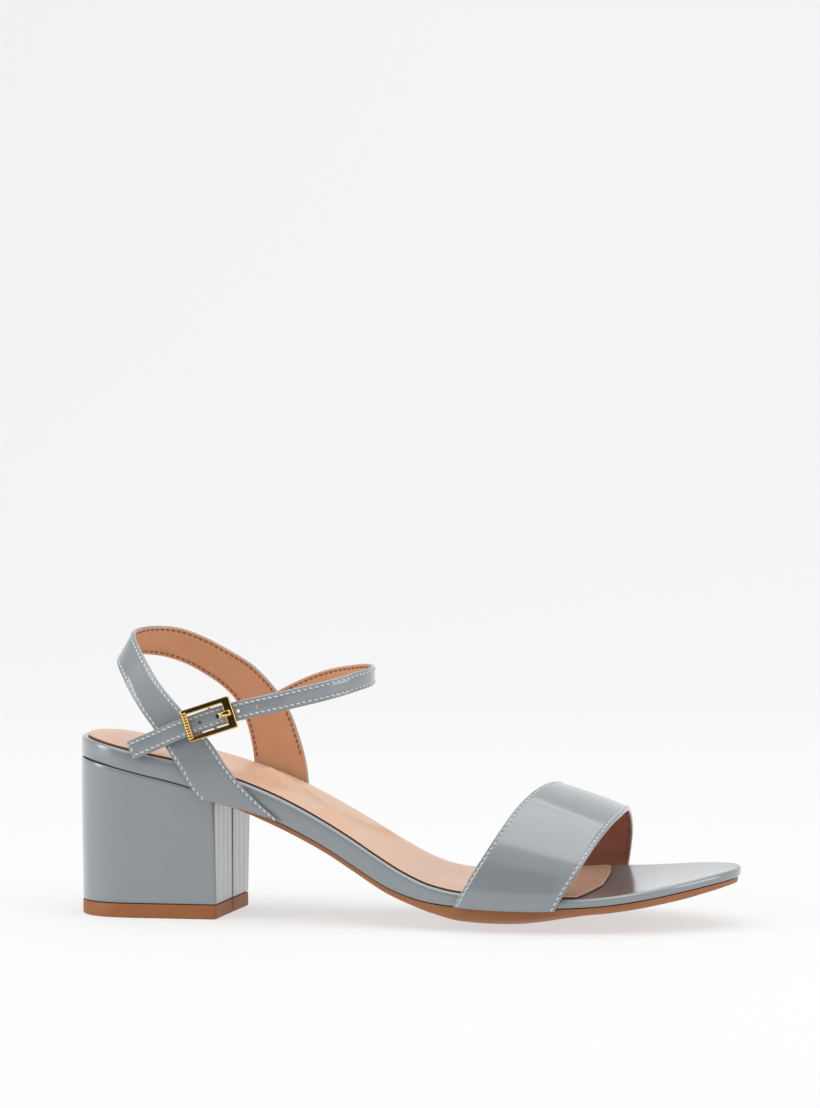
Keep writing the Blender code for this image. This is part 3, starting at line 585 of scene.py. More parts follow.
def cut(obj, rings):
    """Cuts a lofted shape out of obj, with dark brown walls."""
    points, faces, _ = loft(rings)
    cutter = put("cutter", mesh_of("cutter", points, faces, ["edge_paint"]))
    change = obj.modifiers.new("cut", "BOOLEAN")
    change.operation = "DIFFERENCE"
    change.solver = "EXACT"
    change.object = cutter
    graph = bpy.context.evaluated_depsgraph_get()
    mesh = bpy.data.meshes.new_from_object(obj.evaluated_get(graph))
    obj.modifiers.clear()
    obj.data = mesh
    soften(mesh)
    bpy.data.objects.remove(cutter)


def run_along(points):
    """Distance along a line of points, from its first one."""
    return np.concatenate([[0], np.cumsum(np.linalg.norm(np.diff(points, axis=0), axis=1))])


def curve_through(points, run, at):
    """Places along a smooth curve through points whose distances are run."""
    return np.column_stack([smooth(run, column, steady=False)(at) for column in np.transpose(points)])


def loft(rings, capped=True):
    """Points, quads and each quad's column, from closed rings of equal length."""
    count = len(rings[0])
    faces, columns = [], []
    for r in range(len(rings) - 1):
        for i in range(count):
            j = (i + 1) % count
            faces.append((r * count + i, r * count + j, (r + 1) * count + j, (r + 1) * count + i))
            columns.append(i)
    if capped:
        last = (len(rings) - 1) * count
        faces += [tuple(range(count))[::-1], tuple(last + i for i in range(count))]
        columns += [0, 0]
    return np.concatenate(rings), faces, np.array(columns)


def stations(start, end, width, count):
    """Shares of the length, spaced evenly along the outline from its start to its end."""
    fine = start + (end - start) * (1 - np.cos(math.pi * np.linspace(0, 1, 4001))) / 2
    wide = width(fine)
    run = run_along(np.column_stack([fine * LENGTH, wide]))
    return np.interp(np.linspace(0, run[-1], count), run, fine)


def outline(shares, widths):
    """Closed outline from the heel back along the lateral side to the toe and back: points and normals."""
    x = shares * LENGTH
    lateral = np.stack([x, -widths(x, -1.0)], -1)
    medial = np.stack([x, widths(x, 1.0)], -1)[::-1]
    points = np.concatenate([lateral, medial[1:-1]])
    ahead = np.roll(points, -1, 0) - np.roll(points, 1, 0)
    normals = np.stack([ahead[:, 1], -ahead[:, 0]], -1)
    return points, normals / np.linalg.norm(normals, axis=1)[:, None]


def spine_of(points, start, end):
    """For each outline point, the point of the middle line that it closes towards."""
    share = (points[:, 0] - points[:, 0].min()) / np.ptp(points[:, 0])
    x = start + (end - start) * share
    return np.stack([x, (half_width(x, 1.0) - half_width(x, -1.0)) / 2], -1)


def build_footbed():
    shares = stations(0.0, 1.0, lambda s: half_width(s * LENGTH, -1.0), 250)
    points, normals = outline(shares, half_width)
    spine = spine_of(points, SPINE_MARGIN, LENGTH - SPINE_MARGIN)
    side = np.sign(points[:, 1])
    rings = []
    inner = points - normals * 2 * RIM_RADIUS
    for share in np.linspace(1.0, 0.0, 14):
        rings.append(lay(inner + (spine - inner) * share, footbed_top))
    for turn in np.radians(np.linspace(6, 90, 9)):
        inset = 1 - math.sin(turn)
        flat = points - normals * inset * RIM_RADIUS
        rim = rim_top(points[:, 0], side)
        high = rim + (footbed_top(*flat.T) - rim) * inset
        rings.append(np.column_stack([flat, high - (1 - math.cos(turn)) * RIM_RADIUS]))
    for inset, rise in ((0.0, 0.9), (0.05, 0.6), (0.16, 0.33), (0.4, 0.1), (1.0, 0.0)):
        rings.append(lay(points - normals * inset, footbed_under, rise))
    base = points - normals
    for share in (0.15, 0.3, 0.45, 0.6, 0.8, 1.0):
        rings.append(lay(base + (spine - base) * share, footbed_under))
    make_lofted("footbed", rings, "poured_patent", "footbed", capped=False)


def sock_width(x, side):
    """Half width of the sock, with its own rounded front."""
    share = x / LENGTH
    toe = np.clip((share - SOCK_END + SOCK_ROUND) / SOCK_ROUND, 0, 1)
    wide = half_width(x, side, inset=SOCK_INSET)
    power = np.where(side < 0, *SOCK_POWERS)
    return wide * (1 - toe**power) ** (1 / power)


def distance_to(line, x, y):
    """Distance in plan from points to a polyline."""
    best = np.full(np.shape(x), 1e9)
    for (ax, ay), (bx, by) in zip(line[:-1], line[1:]):
        dx, dy = bx - ax, by - ay
        t = np.clip(((x - ax) * dx + (y - ay) * dy) / (dx * dx + dy * dy), 0, 1)
        best = np.minimum(best, np.hypot(x - ax - t * dx, y - ay - t * dy))
    return best


def build_sock(sizes):
    shares = stations(SOCK_INSET / LENGTH, SOCK_END, lambda s: sock_width(s * LENGTH, -1.0), 230)
    points, normals = outline(shares, sock_width)
    spine = spine_of(points, SPINE_MARGIN, SOCK_END * LENGTH - SPINE_MARGIN)
    ridges = []
    for line in ARCH_RIDGES:
        run = run_along(line)
        ridges.append(curve_through(line, run, np.linspace(0, run[-1], 60)))
    pad = profile["pad"](points[:, 0] / LENGTH)
    rings, dark_rings = [], []
    for share in np.linspace(1.0, 0.0, 34)[:-1]:
        flat = points - normals * SOCK_RIM
        flat = flat + (spine - flat) * share
        thick = profile["pad"](flat[:, 0] / LENGTH) + SOCK_PAD * math.sin(math.pi / 2 * min(1, 2 * share))
        press = np.zeros(len(flat))
        for line in ridges:
            away = distance_to(line, *flat.T)
            press += 0.55 * np.exp(-((away / 1.2) ** 2)) + 0.45 * np.exp(-((away / 3.5) ** 2))
        press *= sizes.ridge_height * 1000 * min(1, 2.6 * share)
        rings.append(lay(flat, footbed_top, GAP + thick + press))
        dark_rings.append(0)
    # The sock's side and the strip it stands on are dark brown
    for turn in np.radians(np.linspace(0, 90, 8)):
        inset = SOCK_RIM * (1 - math.sin(turn)) ** 1.3
        part = 0.45 + 0.55 * math.cos(turn)
        rings.append(lay(points - normals * inset, footbed_top, GAP + part * pad))
        dark_rings.append(1 if turn > math.radians(66) else 0)
    for inset in (0.0, 0.4):
        rings.append(lay(points - normals * inset, footbed_top, GAP))
        dark_rings.append(1)
    for share in (0.33, 0.66, 1.0):
        rings.append(lay(points + (spine - points) * share, footbed_top, GAP))
        dark_rings.append(1)
    mesh_points, faces, _ = loft(rings, capped=False)
    which = np.repeat(dark_rings[:-1], len(points))
    looks = ["sock_leather", "edge_paint"]
    make_piece("sock", mesh_points, faces, looks, "sock_lining", which)


def build_outsole():
    start = (BREAST_AT + BREAST_SKEW) / LENGTH
    shares = start + (0.9995 - SOLE_INSET / LENGTH - start) * np.sin(np.linspace(0, math.pi / 2, 240))
    across = np.sin(np.linspace(-math.pi / 2, math.pi / 2, 49))
    edge = np.clip((np.abs(across) - 0.93) / 0.07, 0, 1) ** 2
    rings = []
    for i, share in enumerate(shares):
        ahead = np.full(len(across), share * LENGTH)
        y = across * np.maximum(half_width(share * LENGTH, across, inset=SOLE_INSET), 0.4)
        if i == 0:
            ahead = BREAST_AT + BREAST_SKEW * np.clip(y / abs(y[0]), -1, 1) + GAP
        top = footbed_under(ahead, y) - GAP
        low = sole_under(ahead, y) + edge * 0.7
        low[[0, -1]] = np.minimum(low[[0, -1]], top[[0, -1]] - 0.8)
        flat = np.column_stack([ahead, y])
        rings.append(np.vstack([np.column_stack([flat, top]), np.column_stack([flat, low])[::-1]]))
    make_lofted("outsole", rings, "outsole_sheet", "outsole")


# Heel


def block_size(level, name):
    size = LENGTH if name == "back" else BALL_WIDTH
    return size * smooth(BLOCK["level"], BLOCK[name])(level)


def block_ring(level, height, seam, inset=0.0):
    """Plan of the block at one level, from the back along its lateral side, across the breast and back."""
    back = block_size(level, "back")
    turn = np.linspace(0, math.pi / 2, 56)
    x = list(back + BLOCK_ROUND * (1 - np.cos(turn) ** (2 / BLOCK_POWER)))
    wide = list(np.sin(turn) ** (2 / BLOCK_POWER))
    straight = x[-1]
    for share in (0.2, 0.4, 0.6, 0.8):
        x.append(straight + (BREAST_AT - CORNER - straight) * share)
        wide.append(1.0)
    for a in np.radians(np.linspace(0, 90, 7)):
        x.append(BREAST_AT - CORNER * (1 - math.sin(a)))
        wide.append(1.0 - CORNER * (1 - math.cos(a)) / block_size(level, "lateral"))
    x, wide = np.array(x), np.array(wide)
    forward = np.clip((x - BLOCK_ROUND) / (BREAST_AT - BLOCK_ROUND), 0, 1)
    taper = 1 - BLOCK_TAPER * (1 - level) * forward
    rows = []
    for side in (-wide * taper * block_size(level, "lateral"), wide * taper * block_size(level, "medial")):
        rows.append(np.column_stack([x + BREAST_SKEW * forward * side / np.abs(side).max(), side]))
    start, end = rows[0][-1], rows[1][-1]
    share = np.concatenate([np.linspace(0, 0.44, 30), np.linspace(0.45, 0.55, 25), np.linspace(0.56, 1, 30)])
    breast = start + (end - start) * share[1:-1, None]
    middle = (start[1] + end[1]) / 2
    off = np.abs(breast[:, 1] - middle)
    breast[:, 0] -= seam * np.exp(-((off / BREAST_SEAM_WIDE) ** 2))
    breast[:, 0] -= RIPPLE * seam * (np.sin(off * 1.1) + 0.6 * np.sin(off * 2.3 + 1.0))
    ring = np.concatenate([rows[0], breast, rows[1][::-1]])
    centre = np.array([BREAST_AT / 2, 0.0])
    away = ring - centre
    ring = ring - away / np.linalg.norm(away, axis=1)[:, None] * inset
    up = height(ring[:, 0]) if callable(height) else np.full(len(ring), height)
    return np.column_stack([ring, up])


def build_heel_block():
    foot = LIFT_HEIGHT + GAP
    rings = []
    shares = np.concatenate([[0.0, 0.004, 0.012], np.linspace(0.04, 0.96, 26), [0.988, 0.996, 1.0]])
    insets = [0.35, 0.1] + [0.0] * (len(shares) - 4) + [0.1, 0.35]
    for share, inset in zip(shares, insets):

        def height(x, share=share):
            return foot + (band_low(x) - GAP - foot) * share

        rings.append(block_ring(share, height, BREAST_SEAM, inset))
    make_lofted("heel_block", rings, "poured_patent", "heel_block")


def build_top_lift():
    levels = ((0.0, 0.4, 0.0), (0.15, 0.12, 0.05), (0.45, 0.0, 0.1), (1.4, 0.0, 0.15), (2.0, 0.0, 0.5))
    levels += ((4.4, 0.0, 0.6), (4.85, 0.1, 0.6), (LIFT_HEIGHT, 0.3, 0.5))
    rings = [block_ring(0.0, height, seam, inset) for height, inset, seam in levels]
    make_lofted("top_lift", rings, "ground_lift_rubber", "top_lift")


# Straps


def wide_strap(rows, low, up, crest, rounded):
    """Middle surface of a wide strap, as a function of places along and across it from 0 to 1."""
    off = GAP + WIDE_STRAP / 2 + 0.1
    ahead = LENGTH * (rows[low + "_along"] + rows[up + "_along"]) / 2
    side_mm = rows["side"] * half_width(ahead, rows["side"], rounded)
    high = rim_top(ahead, rows["side"]) + crest * (rows[low + "_rise"] + rows[up + "_rise"]) / 2
    middle = np.column_stack([ahead, side_mm, high])
    run = run_along(middle)
    column = {name: smooth(run, rows[name], steady=name == "side") for name in rows}

    def at(t, a):
        t = t * run[-1] + 0.0 * a
        x = LENGTH * ((1 - a) * column[low + "_along"](t) + a * column[up + "_along"](t))
        rise = crest * ((1 - a) * column[low + "_rise"](t) + a * column[up + "_rise"](t))
        side = column["side"](t)
        y = side * (half_width(x, side, rounded) + off)
        return np.stack([x, y, rim_top(x, side) + rise], -1)

    return at


def normal_of(at, t, a, outward):
    """Unit normal of a strap's middle surface, away from the foot."""
    step = 2e-3
    along = at(np.clip(t + step, 0, 1), a) - at(np.clip(t - step, 0, 1), a)
    across = at(t, a + step) - at(t, a - step)
    normal = np.cross(across, along) * outward
    return normal / np.linalg.norm(normal, axis=-1, keepdims=True)


def vamp_surface():
    flat = wide_strap(VAMP, "back", "front", VAMP_RISE, rounded=True)

    def at(t, a):
        free = np.clip(np.minimum(t, 1 - t) / 0.2 - 0.4, 0, 1)
        swell = VAMP_BULGE * free * np.sin(math.pi * np.clip(a, 0, 1))
        return flat(t, a) + normal_of(flat, t, a, 1) * swell[..., None]

    return at


ANKLE_LINE = np.column_stack(
    [LENGTH * ANKLE["along"], ANKLE_OUT * ANKLE["out"], ANKLE_RISE * ANKLE["above"] + BALL_TOP + HEEL_RISE]
)
ANKLE_RUN = run_along(ANKLE_LINE)
ankle_columns = [smooth(ANKLE_RUN, ANKLE_LINE[:, k], steady=False) for k in range(3)]


def ankle_surface(t, a):
    """Middle surface of the ankle strap, with round corners at its loose tip."""
    run = t * ANKLE_RUN[-1] + 0.0 * a
    corner = 1.5 * (1 - np.sqrt(np.clip(1 - np.abs(2 * a - 1) ** 5, 0, 1)))
    run = run + corner * np.clip(1 - run / 5, 0, 1)
    centre = np.stack([column(run) for column in ankle_columns], -1)
    ahead = np.stack([column(run + 0.5) - column(run - 0.5) for column in ankle_columns], -1)
    ahead /= np.linalg.norm(ahead, axis=-1, keepdims=True)
    out = np.cross(ahead, [0.0, 0.0, 1.0])
    out /= np.linalg.norm(out, axis=-1, keepdims=True)
    return centre + np.cross(out, ahead) * ((a - 0.5) * NARROW_WIDTH)[..., None]


def strap_rings(at, outward, thickness, steps, middle, sizes):
    """Rings round a strap with folded edges and sunk seam lines, and the look of each ring's faces:
    0 is the outer leather, 1 the lining."""
    t = np.linspace(0, 1, steps)[:, None]
    width = np.linalg.norm(at(t, np.ones_like(t)) - at(t, np.zeros_like(t)), axis=-1)
    fold = 0.4 * thickness
    seam = sizes.seam_inset * 1000
    beside = (-0.45, -0.25, -0.1, 0.0, 0.1, 0.25, 0.5)
    offsets = np.array([fold, *(seam + step for step in beside)])
    near = np.sort(np.maximum(offsets, fold))
    rest = near[-1] + 0.6
    share = np.linspace(0, 1, middle)
    inner = rest + share * (width - 2 * rest)
    distance = np.concatenate([np.broadcast_to(near, (steps, len(near))), inner], 1)
    distance = np.concatenate([distance, width - near[::-1]], 1)
    a = distance / width
    edge_distance = np.minimum(distance, width - distance)
    groove = sizes.seam_depth * 1000 * np.exp(-(((edge_distance - seam) / 0.3) ** 2))
    surface = at(t, a)
    normal = normal_of(at, t, a, outward)
    end = np.minimum(t, 1 - t) * ANKLE_RUN[-1]
    half = thickness / 2 * (0.6 + 0.4 * np.clip(end / 0.6, 0, 1))
    outer = surface + normal * (half - groove)[..., None]
    lining = surface - normal * (half - groove * 0.8)[..., None]
    across = surface[:, -1] - surface[:, 0]
    across /= np.linalg.norm(across, axis=-1, keepdims=True)
    turns = np.radians(np.linspace(180, 0, 9)[1:-1])

    def edge(end, away, turn):
        return surface[:, end] + across * away * math.sin(turn) + normal[:, end] * half * math.cos(turn)

    columns = [edge(0, -fold, turn) for turn in turns] + list(outer.swapaxes(0, 1))
    columns += [edge(-1, fold, turn) for turn in turns[::-1]] + list(lining[:, ::-1].swapaxes(0, 1))
    looks = [turns > EDGE_TURN, np.zeros(outer.shape[1]), turns[::-1] > EDGE_TURN - 0.3]
    return list(np.stack(columns, 1)), np.concatenate([*looks, np.ones(lining.shape[1])]).astype(int)


def seam_line(at, outward, thickness, edge, face, sizes, start=0.0, end=1.0):
    """Points and normals along a seam beside one edge, 0 or 1, on the outer face, 1, or the lining, -1."""
    t = np.linspace(start, end, 1500)[:, None]
    width = np.linalg.norm(at(t, np.ones_like(t)) - at(t, np.zeros_like(t)), axis=-1)
    a = sizes.seam_inset * 1000 / width
    a = 1 - a if edge else a
    normal = normal_of(at, t, a, outward) * face
    points = at(t, a) + normal * (thickness / 2 - sizes.seam_depth * 1000)
    return points[:, 0], normal[:, 0]


def build_stitches(name, seams, thread, sizes):
    """One mesh of stitches that dip into the leather at both ends."""
    pitch, long = sizes.stitch_pitch * 1000, sizes.stitch_length * 1000
    radius = sizes.thread_width * 500
    along = np.array([-0.5, -0.36, 0.0, 0.36, 0.5])
    lift = np.array([-0.6, 0.25, 0.6, 0.25, -0.6]) * radius
    girth = np.array([0.5, 0.95, 1.0, 0.95, 0.5]) * radius
    turn = np.linspace(0, 2 * math.pi, 9)[:-1]
    blocks = []
    for points, normals in seams:
        run = run_along(points)
        count = int(run[-1] // pitch)
        middle = (np.arange(count) + 0.5) * run[-1] / count
        place = middle[:, None] + along * long
        centre = np.stack([np.interp(place, run, points[:, k]) for k in range(3)], -1)
        up = np.stack([np.interp(place, run, normals[:, k]) for k in range(3)], -1)
        ahead = centre[:, -1:] - centre[:, :1]
        side = np.cross(ahead, up)
        side /= np.linalg.norm(side, axis=-1, keepdims=True)
        slant = np.array([-1.0, -0.8, 0.0, 0.8, 1.0]) * SLANT
        centre = centre + up * lift[:, None] + side * slant[:, None]
        ring = side[:, :, None] * np.cos(turn)[:, None] + up[:, :, None] * np.sin(turn)[:, None]
        blocks.append((centre[:, :, None] + ring * girth[:, None, None]).reshape(-1, 5, 8, 3))
    blocks = np.concatenate(blocks)
    make_repeated(name, blocks, thread)


def build_strap(name, at, outward, thickness, steps, middle, node, sizes, lining="drum_dyed_lining"):
    rings, looks = strap_rings(at, outward, thickness, steps, middle, sizes)
    points, faces, columns = loft(rings)
    return make_piece(name, points, faces, ["poured_patent", lining], node, looks[columns])


def build_seams(name, at, outward, thickness, upper, under, sizes, more=()):
    """Stitches beside both edges, from start to end on the outer face and on the lining."""
    outer = [seam_line(at, outward, thickness, edge, 1, sizes, *upper) for edge in (0, 1)]
    build_stitches(name + "_stitches", [*outer, *more], "upper_thread", sizes)
    lining = [seam_line(at, outward, thickness, edge, -1, sizes, *under) for edge in (0, 1)]
    build_stitches(name + "_lining_stitches", lining, "lining_thread", sizes)


def build_vamp(sizes):
    at = vamp_surface()
    # The band's lining takes the darkened lining colour: painted shade inside the band
    build_strap("vamp_strap", at, 1, WIDE_STRAP, 190, 36, "vamp_strap", sizes, "drum_dyed_vamp_lining")
    build_seams("vamp", at, 1, WIDE_STRAP, (0.0, 1.0), (0.06, 0.94), sizes)


def build_heel_strap(sizes):
    at = wide_strap(QUARTER, "low", "up", HEEL_STRAP_RISE, rounded=False)
    build_strap("heel_strap", at, 1, WIDE_STRAP, 230, 16, "heel_and_ankle_strap", sizes)
    build_seams("heel_strap", at, 1, WIDE_STRAP, (0.0, 1.0), (0.08, 0.92), sizes)


def oval_hole(centre, long, wide):
    """Two ovals, one on each side of a strap, at a place along the buckle's row."""
    turn = np.linspace(0, 2 * math.pi, 25)[:-1, None]
    oval = centre + LEAN * long * np.cos(turn) + UP * wide * np.sin(turn)
    return [oval - OUT * CUT_DEPTH, oval + OUT * CUT_DEPTH]


def build_ankle_strap(sizes):
    node = "heel_and_ankle_strap"
    strap = build_strap("ankle_strap", ankle_surface, -1, NARROW_STRAP, 300, 7, node, sizes)
    first = PRONG_HOLE - GAP
    cut(strap, oval_hole(place(first, 0, 0), PRONG_HOLE_LONG, PRONG_HOLE_WIDE))
    half = sizes.hole_width * 500
    for k in (-1, 1, 2):
        run = ANKLE_RUN[BUCKLE_ROW] + first + HOLE_PITCH * k
        cut(strap, oval_hole(np.array([float(column(run)) for column in ankle_columns]), half, half))
    row = np.full(60, TIP_SEAM), np.linspace(0.22, 0.78, 60)
    normal = normal_of(ankle_surface, *row, -1)
    tip = ankle_surface(*row) + normal * (NARROW_STRAP / 2 - sizes.seam_depth * 300)
    ends = (0.006, 1.0), (0.02, 0.98)
    build_seams("ankle_strap", ankle_surface, -1, NARROW_STRAP, *ends, sizes, [(tip, normal)])


# Buckle, in its own frame: LEAN along the strap towards the toe, UP across it, OUT away from the foot

BUCKLE_AT = ANKLE_LINE[BUCKLE_ROW]
LEAN = ANKLE_LINE[BUCKLE_ROW + 1] - ANKLE_LINE[BUCKLE_ROW - 1]
LEAN /= np.linalg.norm(LEAN)
UP = np.array([-LEAN[2], 0.0, LEAN[0]])
OUT = np.array([0.0, -1.0, 0.0])
FRAME_DEPTH = NARROW_STRAP / 2 + GAP + BUCKLE_THICK / 2
BAR_DEPTH = -(NARROW_STRAP / 2 + 2 * GAP + CHAPE_THICK + CENTRE_BAR)


def place(along, up, out):
    """Points in the buckle's frame, from numbers or arrays of them."""
    along, up, out = (np.multiply.outer(*pair) for pair in ((along, LEAN), (up, UP), (out, OUT)))
    return BUCKLE_AT + along + up + out


def rounded_box(left, right, low, high, radius, per_corner):
    """A rectangle with round corners, anticlockwise from the lower right one: places along and up."""
    turn = math.pi / 2 * (np.arange(4)[:, None] - 1 + np.linspace(0, 1, per_corner))
    along = np.array([right - radius, right - radius, left + radius, left + radius])[:, None]
    up = np.array([low + radius, high - radius, high - radius, low + radius])[:, None]
    return (along + radius * np.cos(turn)).ravel(), (up + radius * np.sin(turn)).ravel()


def heading_of(path):
    """Unit direction of a plane path at each of its points."""
    heading = np.gradient(path, axis=0)
    return heading / np.linalg.norm(heading, axis=1)[:, None]


def build_buckle_frame(sizes):
    left, right = -BUCKLE_LENGTH / 2, BUCKLE_LENGTH / 2
    low, high = -BUCKLE_HEIGHT / 2, BUCKLE_HEIGHT / 2
    deep, shallow = FRAME_DEPTH - BUCKLE_THICK / 2, FRAME_DEPTH + BUCKLE_THICK / 2
    # Each face starts with a ring just inside its bevel, so the flat stays flat to the light
    steps = [(FRAME_BEVEL + 0.05, 0.0)]
    for turn in np.radians(np.linspace(0, 90, 5)):
        steps.append((FRAME_BEVEL * (1 - math.sin(turn)), FRAME_BEVEL * (1 - math.cos(turn))))
    outer = (left, right, low, high, FRAME_ROUND)
    window = (left + BAR_LEFT, right - BAR_RIGHT, low + BAR_SIDE, high - BAR_SIDE, WINDOW_ROUND)
    rings = []
    for (a, b, c, d, radius), way, front in ((outer, -1, 0), (outer, -1, 1), (window, 1, 1), (window, 1, 0)):
        for inset, drop in steps if (way > 0) == front else steps[::-1]:
            grow = way * inset
            box = rounded_box(a - grow, b + grow, c - grow, d + grow, radius + grow, 10)
            rings.append(place(*box, shallow - drop if front else deep + drop))
    rings.append(rings[0])
    make_lofted("buckle_frame", rings, "pale_gold_plating", "buckle_frame", capped=False)
    reach = high - BAR_SIDE / 2
    path = [(reach, FRAME_DEPTH), (reach, BAR_DEPTH + BAR_BEND)]
    for a in np.radians(np.linspace(15, 90, 6)):
        path.append((reach - BAR_BEND * (1 - math.cos(a)), BAR_DEPTH + BAR_BEND * (1 - math.sin(a))))
    path = np.array(path + [(-up, out) for up, out in path[::-1]])
    turn = np.linspace(0, 2 * math.pi, 17)[:-1]
    side = CENTRE_BAR * np.cos(turn)
    rings = []
    for (up, out), (rise, fall) in zip(path, heading_of(path)):
        rings.append(place(CENTRE_BAR * np.sin(turn), up - fall * side, out + rise * side))
    make_lofted("buckle_centre_bar", rings, "pale_gold_plating", None)
    turn = np.linspace(0, 2 * math.pi, 15)[:-1]
    blocks = []
    for up in np.linspace(-RIB_REACH, RIB_REACH, sizes.rib_count):
        rings = []
        for polar in np.radians(np.linspace(4, 176, 11)):
            along = left + BAR_LEFT / 2 + RIB[0] * math.cos(polar)
            swell = math.sin(polar)
            off = up + RIB[1] * swell * np.cos(turn)
            rings.append(place(along, off, shallow + RIB[2] * swell * np.sin(turn)))
        blocks.append(rings)
    if blocks:
        make_repeated("buckle_ribs", np.array(blocks), "pale_gold_plating")


def build_buckle_prong():
    radius = CENTRE_BAR + GAP + PRONG_THICK / 2
    rest = FRAME_DEPTH + BUCKLE_THICK / 2 + 0.15 + PRONG_THICK / 2
    path = [(radius * math.cos(a), BAR_DEPTH + radius * math.sin(a)) for a in np.radians(range(200, 331, 13))]
    path += [
        (PRONG_HOLE - 0.95, -NARROW_STRAP / 2 - 0.3),
        (PRONG_HOLE + 0.1, NARROW_STRAP / 2 - 0.1),
        (PRONG_HOLE + 0.95, rest - 0.25),
        (PRONG_HOLE + 1.9, rest),
        (PRONG_REACH - 0.5, rest),
        (PRONG_REACH, rest - 0.1),
    ]
    run = run_along(path)
    t = np.concatenate([np.linspace(0, run[-1] - 0.4, 60), run[-1] - np.array([0.3, 0.2, 0.1, 0.04, 0.0])])
    path = curve_through(path, run, t)
    turn = np.linspace(0, 2 * math.pi, 21)[:-1]
    c, s = np.cos(turn), np.sin(turn)
    rings = []
    for (along, out), (ahead, rise), left in zip(path, heading_of(path), run[-1] - t):
        end = min(1.0, math.sqrt(max(0.02, left / 0.4)))
        half = PRONG_THICK / 2 * (0.55 + 0.45 * end)
        # The point is flattened a little wider than the shank, where it lies on the frame
        flare = 1 + 0.35 * float(np.clip((along - PRONG_HOLE - 1.4) / 1.2, 0, 1))
        across = flare * PRONG_WIDTH / 2 * (0.75 + 0.25 * end)
        move = half * np.sign(s) * np.abs(s) ** 0.6
        up = across * np.sign(c) * np.abs(c) ** 0.5
        rings.append(place(along - rise * move, up, out + ahead * move))
    make_lofted("buckle_prong", rings, "pale_gold_plating", "buckle_prong")


def build_buckle_chape():
    """The folded tab that holds the centre bar, slotted for the prong."""
    at = wide_strap(QUARTER, "low", "up", HEEL_STRAP_RISE, rounded=False)
    t = np.linspace(0, 0.4, 300)
    edge = at(t, np.ones_like(t)) - BUCKLE_AT
    turn = np.radians(np.linspace(-90, 90, 25))
    rings = []
    for up in np.linspace(-CHAPE_WIDTH / 2, CHAPE_WIDTH / 2, 25):
        start = np.interp(up, edge @ UP, edge @ LEAN) + GAP + 0.55
        worn = 0.12 * max(0.0, abs(up) - CHAPE_WIDTH / 2 + 0.3) / 0.3
        inner = CENTRE_BAR + GAP + worn
        outer = CENTRE_BAR + GAP + CHAPE_THICK - worn
        along = [[start, start], outer * np.cos(turn), [-CHAPE_FOLD] * 2, inner * np.cos(turn[::-1])]
        out = [[-inner, -outer], outer * np.sin(turn), [outer, inner], inner * np.sin(turn[::-1])]
        rings.append(place(np.concatenate(along), up, BAR_DEPTH + np.concatenate(out)))
    chape = make_lofted("buckle_chape", rings, "poured_patent", "buckle_chape")
    box = rounded_box(-1.9, 3.0, -SLOT_WIDTH / 2, SLOT_WIDTH / 2, 0.4, 6)
    cut(chape, [place(*box, BAR_DEPTH + depth) for depth in (-3, 3)])


# Stage


def add_softbox(name, position, target, width, height, glow):
    """A soft area light. Glow is its brightness as seen in a mirror."""
    lamp = bpy.data.lights.new(name, "AREA")
    lamp.shape = "RECTANGLE"
    lamp.size, lamp.size_y = width, height
    lamp.energy = glow * math.pi * width * height
    obj = put(name, lamp)
    obj.location = position
    obj.rotation_euler = (Vector(target) - Vector(position)).to_track_quat("-Z", "Y").to_euler()


def stage_sheet(name, points, faces, material):
    mesh = bpy.data.meshes.new(name)
    mesh.from_pydata(points, [], faces)
    mesh.materials.append(bpy.data.materials[material])
    mesh.shade_smooth()
    obj = put(name, mesh)
    return obj


def build_sweep():
    """A paper sweep: level floor with a curved rise far behind."""
    line = [(-4.0, 0.0), (0.0, 0.0), (1.0, 0.0)]
    for a in np.radians(np.linspace(0, 90, 25))[1:]:
        line.append((1.0 + SWEEP_RADIUS * math.sin(a), SWEEP_RADIUS * (1 - math.cos(a))))
    line.append((1.0 + SWEEP_RADIUS, 5.0))
    points = [(x, y, z) for y, z in line for x in (-5.0, 5.0)]
    faces = [(2 * i, 2 * i + 1, 2 * i + 3, 2 * i + 2) for i in range(len(line) - 1)]
    stage_sheet("paper_sweep", points, faces, "studio_paper")


def build_flag():
    """A black card in front, seen only in reflections: it gives polished metal its dark side."""
    corners = [(x, -0.62, z) for x, z in ((-0.75, 0.001), (0.08, 0.001), (0.08, 0.32), (-0.75, 0.32))]
    card = stage_sheet("flag", corners, [(0, 1, 2, 3)], "black_card")
    card.visible_camera = card.visible_shadow = card.visible_diffuse = False


def build_camera():
    lens = bpy.data.cameras.new("camera")
    lens.lens, lens.sensor_width = 127.8, 36.0
    lens.clip_start, lens.clip_end = 0.05, 50.0
    camera = put("camera", lens)
    camera.location = (0.2659, -1.3668, 0.1858)
    camera.rotation_euler = (math.radians(90 - 2.3276), 0.0, math.radians(10.9736))
    bpy.context.scene.camera = camera


def build_sky():
    """Even studio light, a little dimmer overhead."""
    world = bpy.data.worlds.new("studio")
    bpy.context.scene.world = world
    world.use_nodes = True
    tree = world.node_tree
    way = add_node(tree, "ShaderNodeTexCoord").outputs["Generated"]
    height = add_node(tree, "ShaderNodeSeparateXYZ", {0: way}).outputs[2]
    fade = {"Value": height, "From Min": 0.0, "From Max": 0.9, "To Min": 0.62, "To Max": 0.45}
    glow = add_node(tree, "ShaderNodeMapRange", fade)
    tree.links.new(glow.outputs[0], tree.nodes["Background"].inputs["Strength"])
    tree.nodes["Background"].inputs["Color"].default_value = (1.0, 1.0, 1.0, 1.0)


# Operators


class SANDAL_OT_materials(bpy.types.Operator):
    """Mix the sandal's leathers, rubbers, metal and threads"""

    bl_idname = "sandal.materials"
    bl_label = "Materials"

    def execute(self, context):
        make_materials(context.scene.sandal_colours)
        return {"FINISHED"}


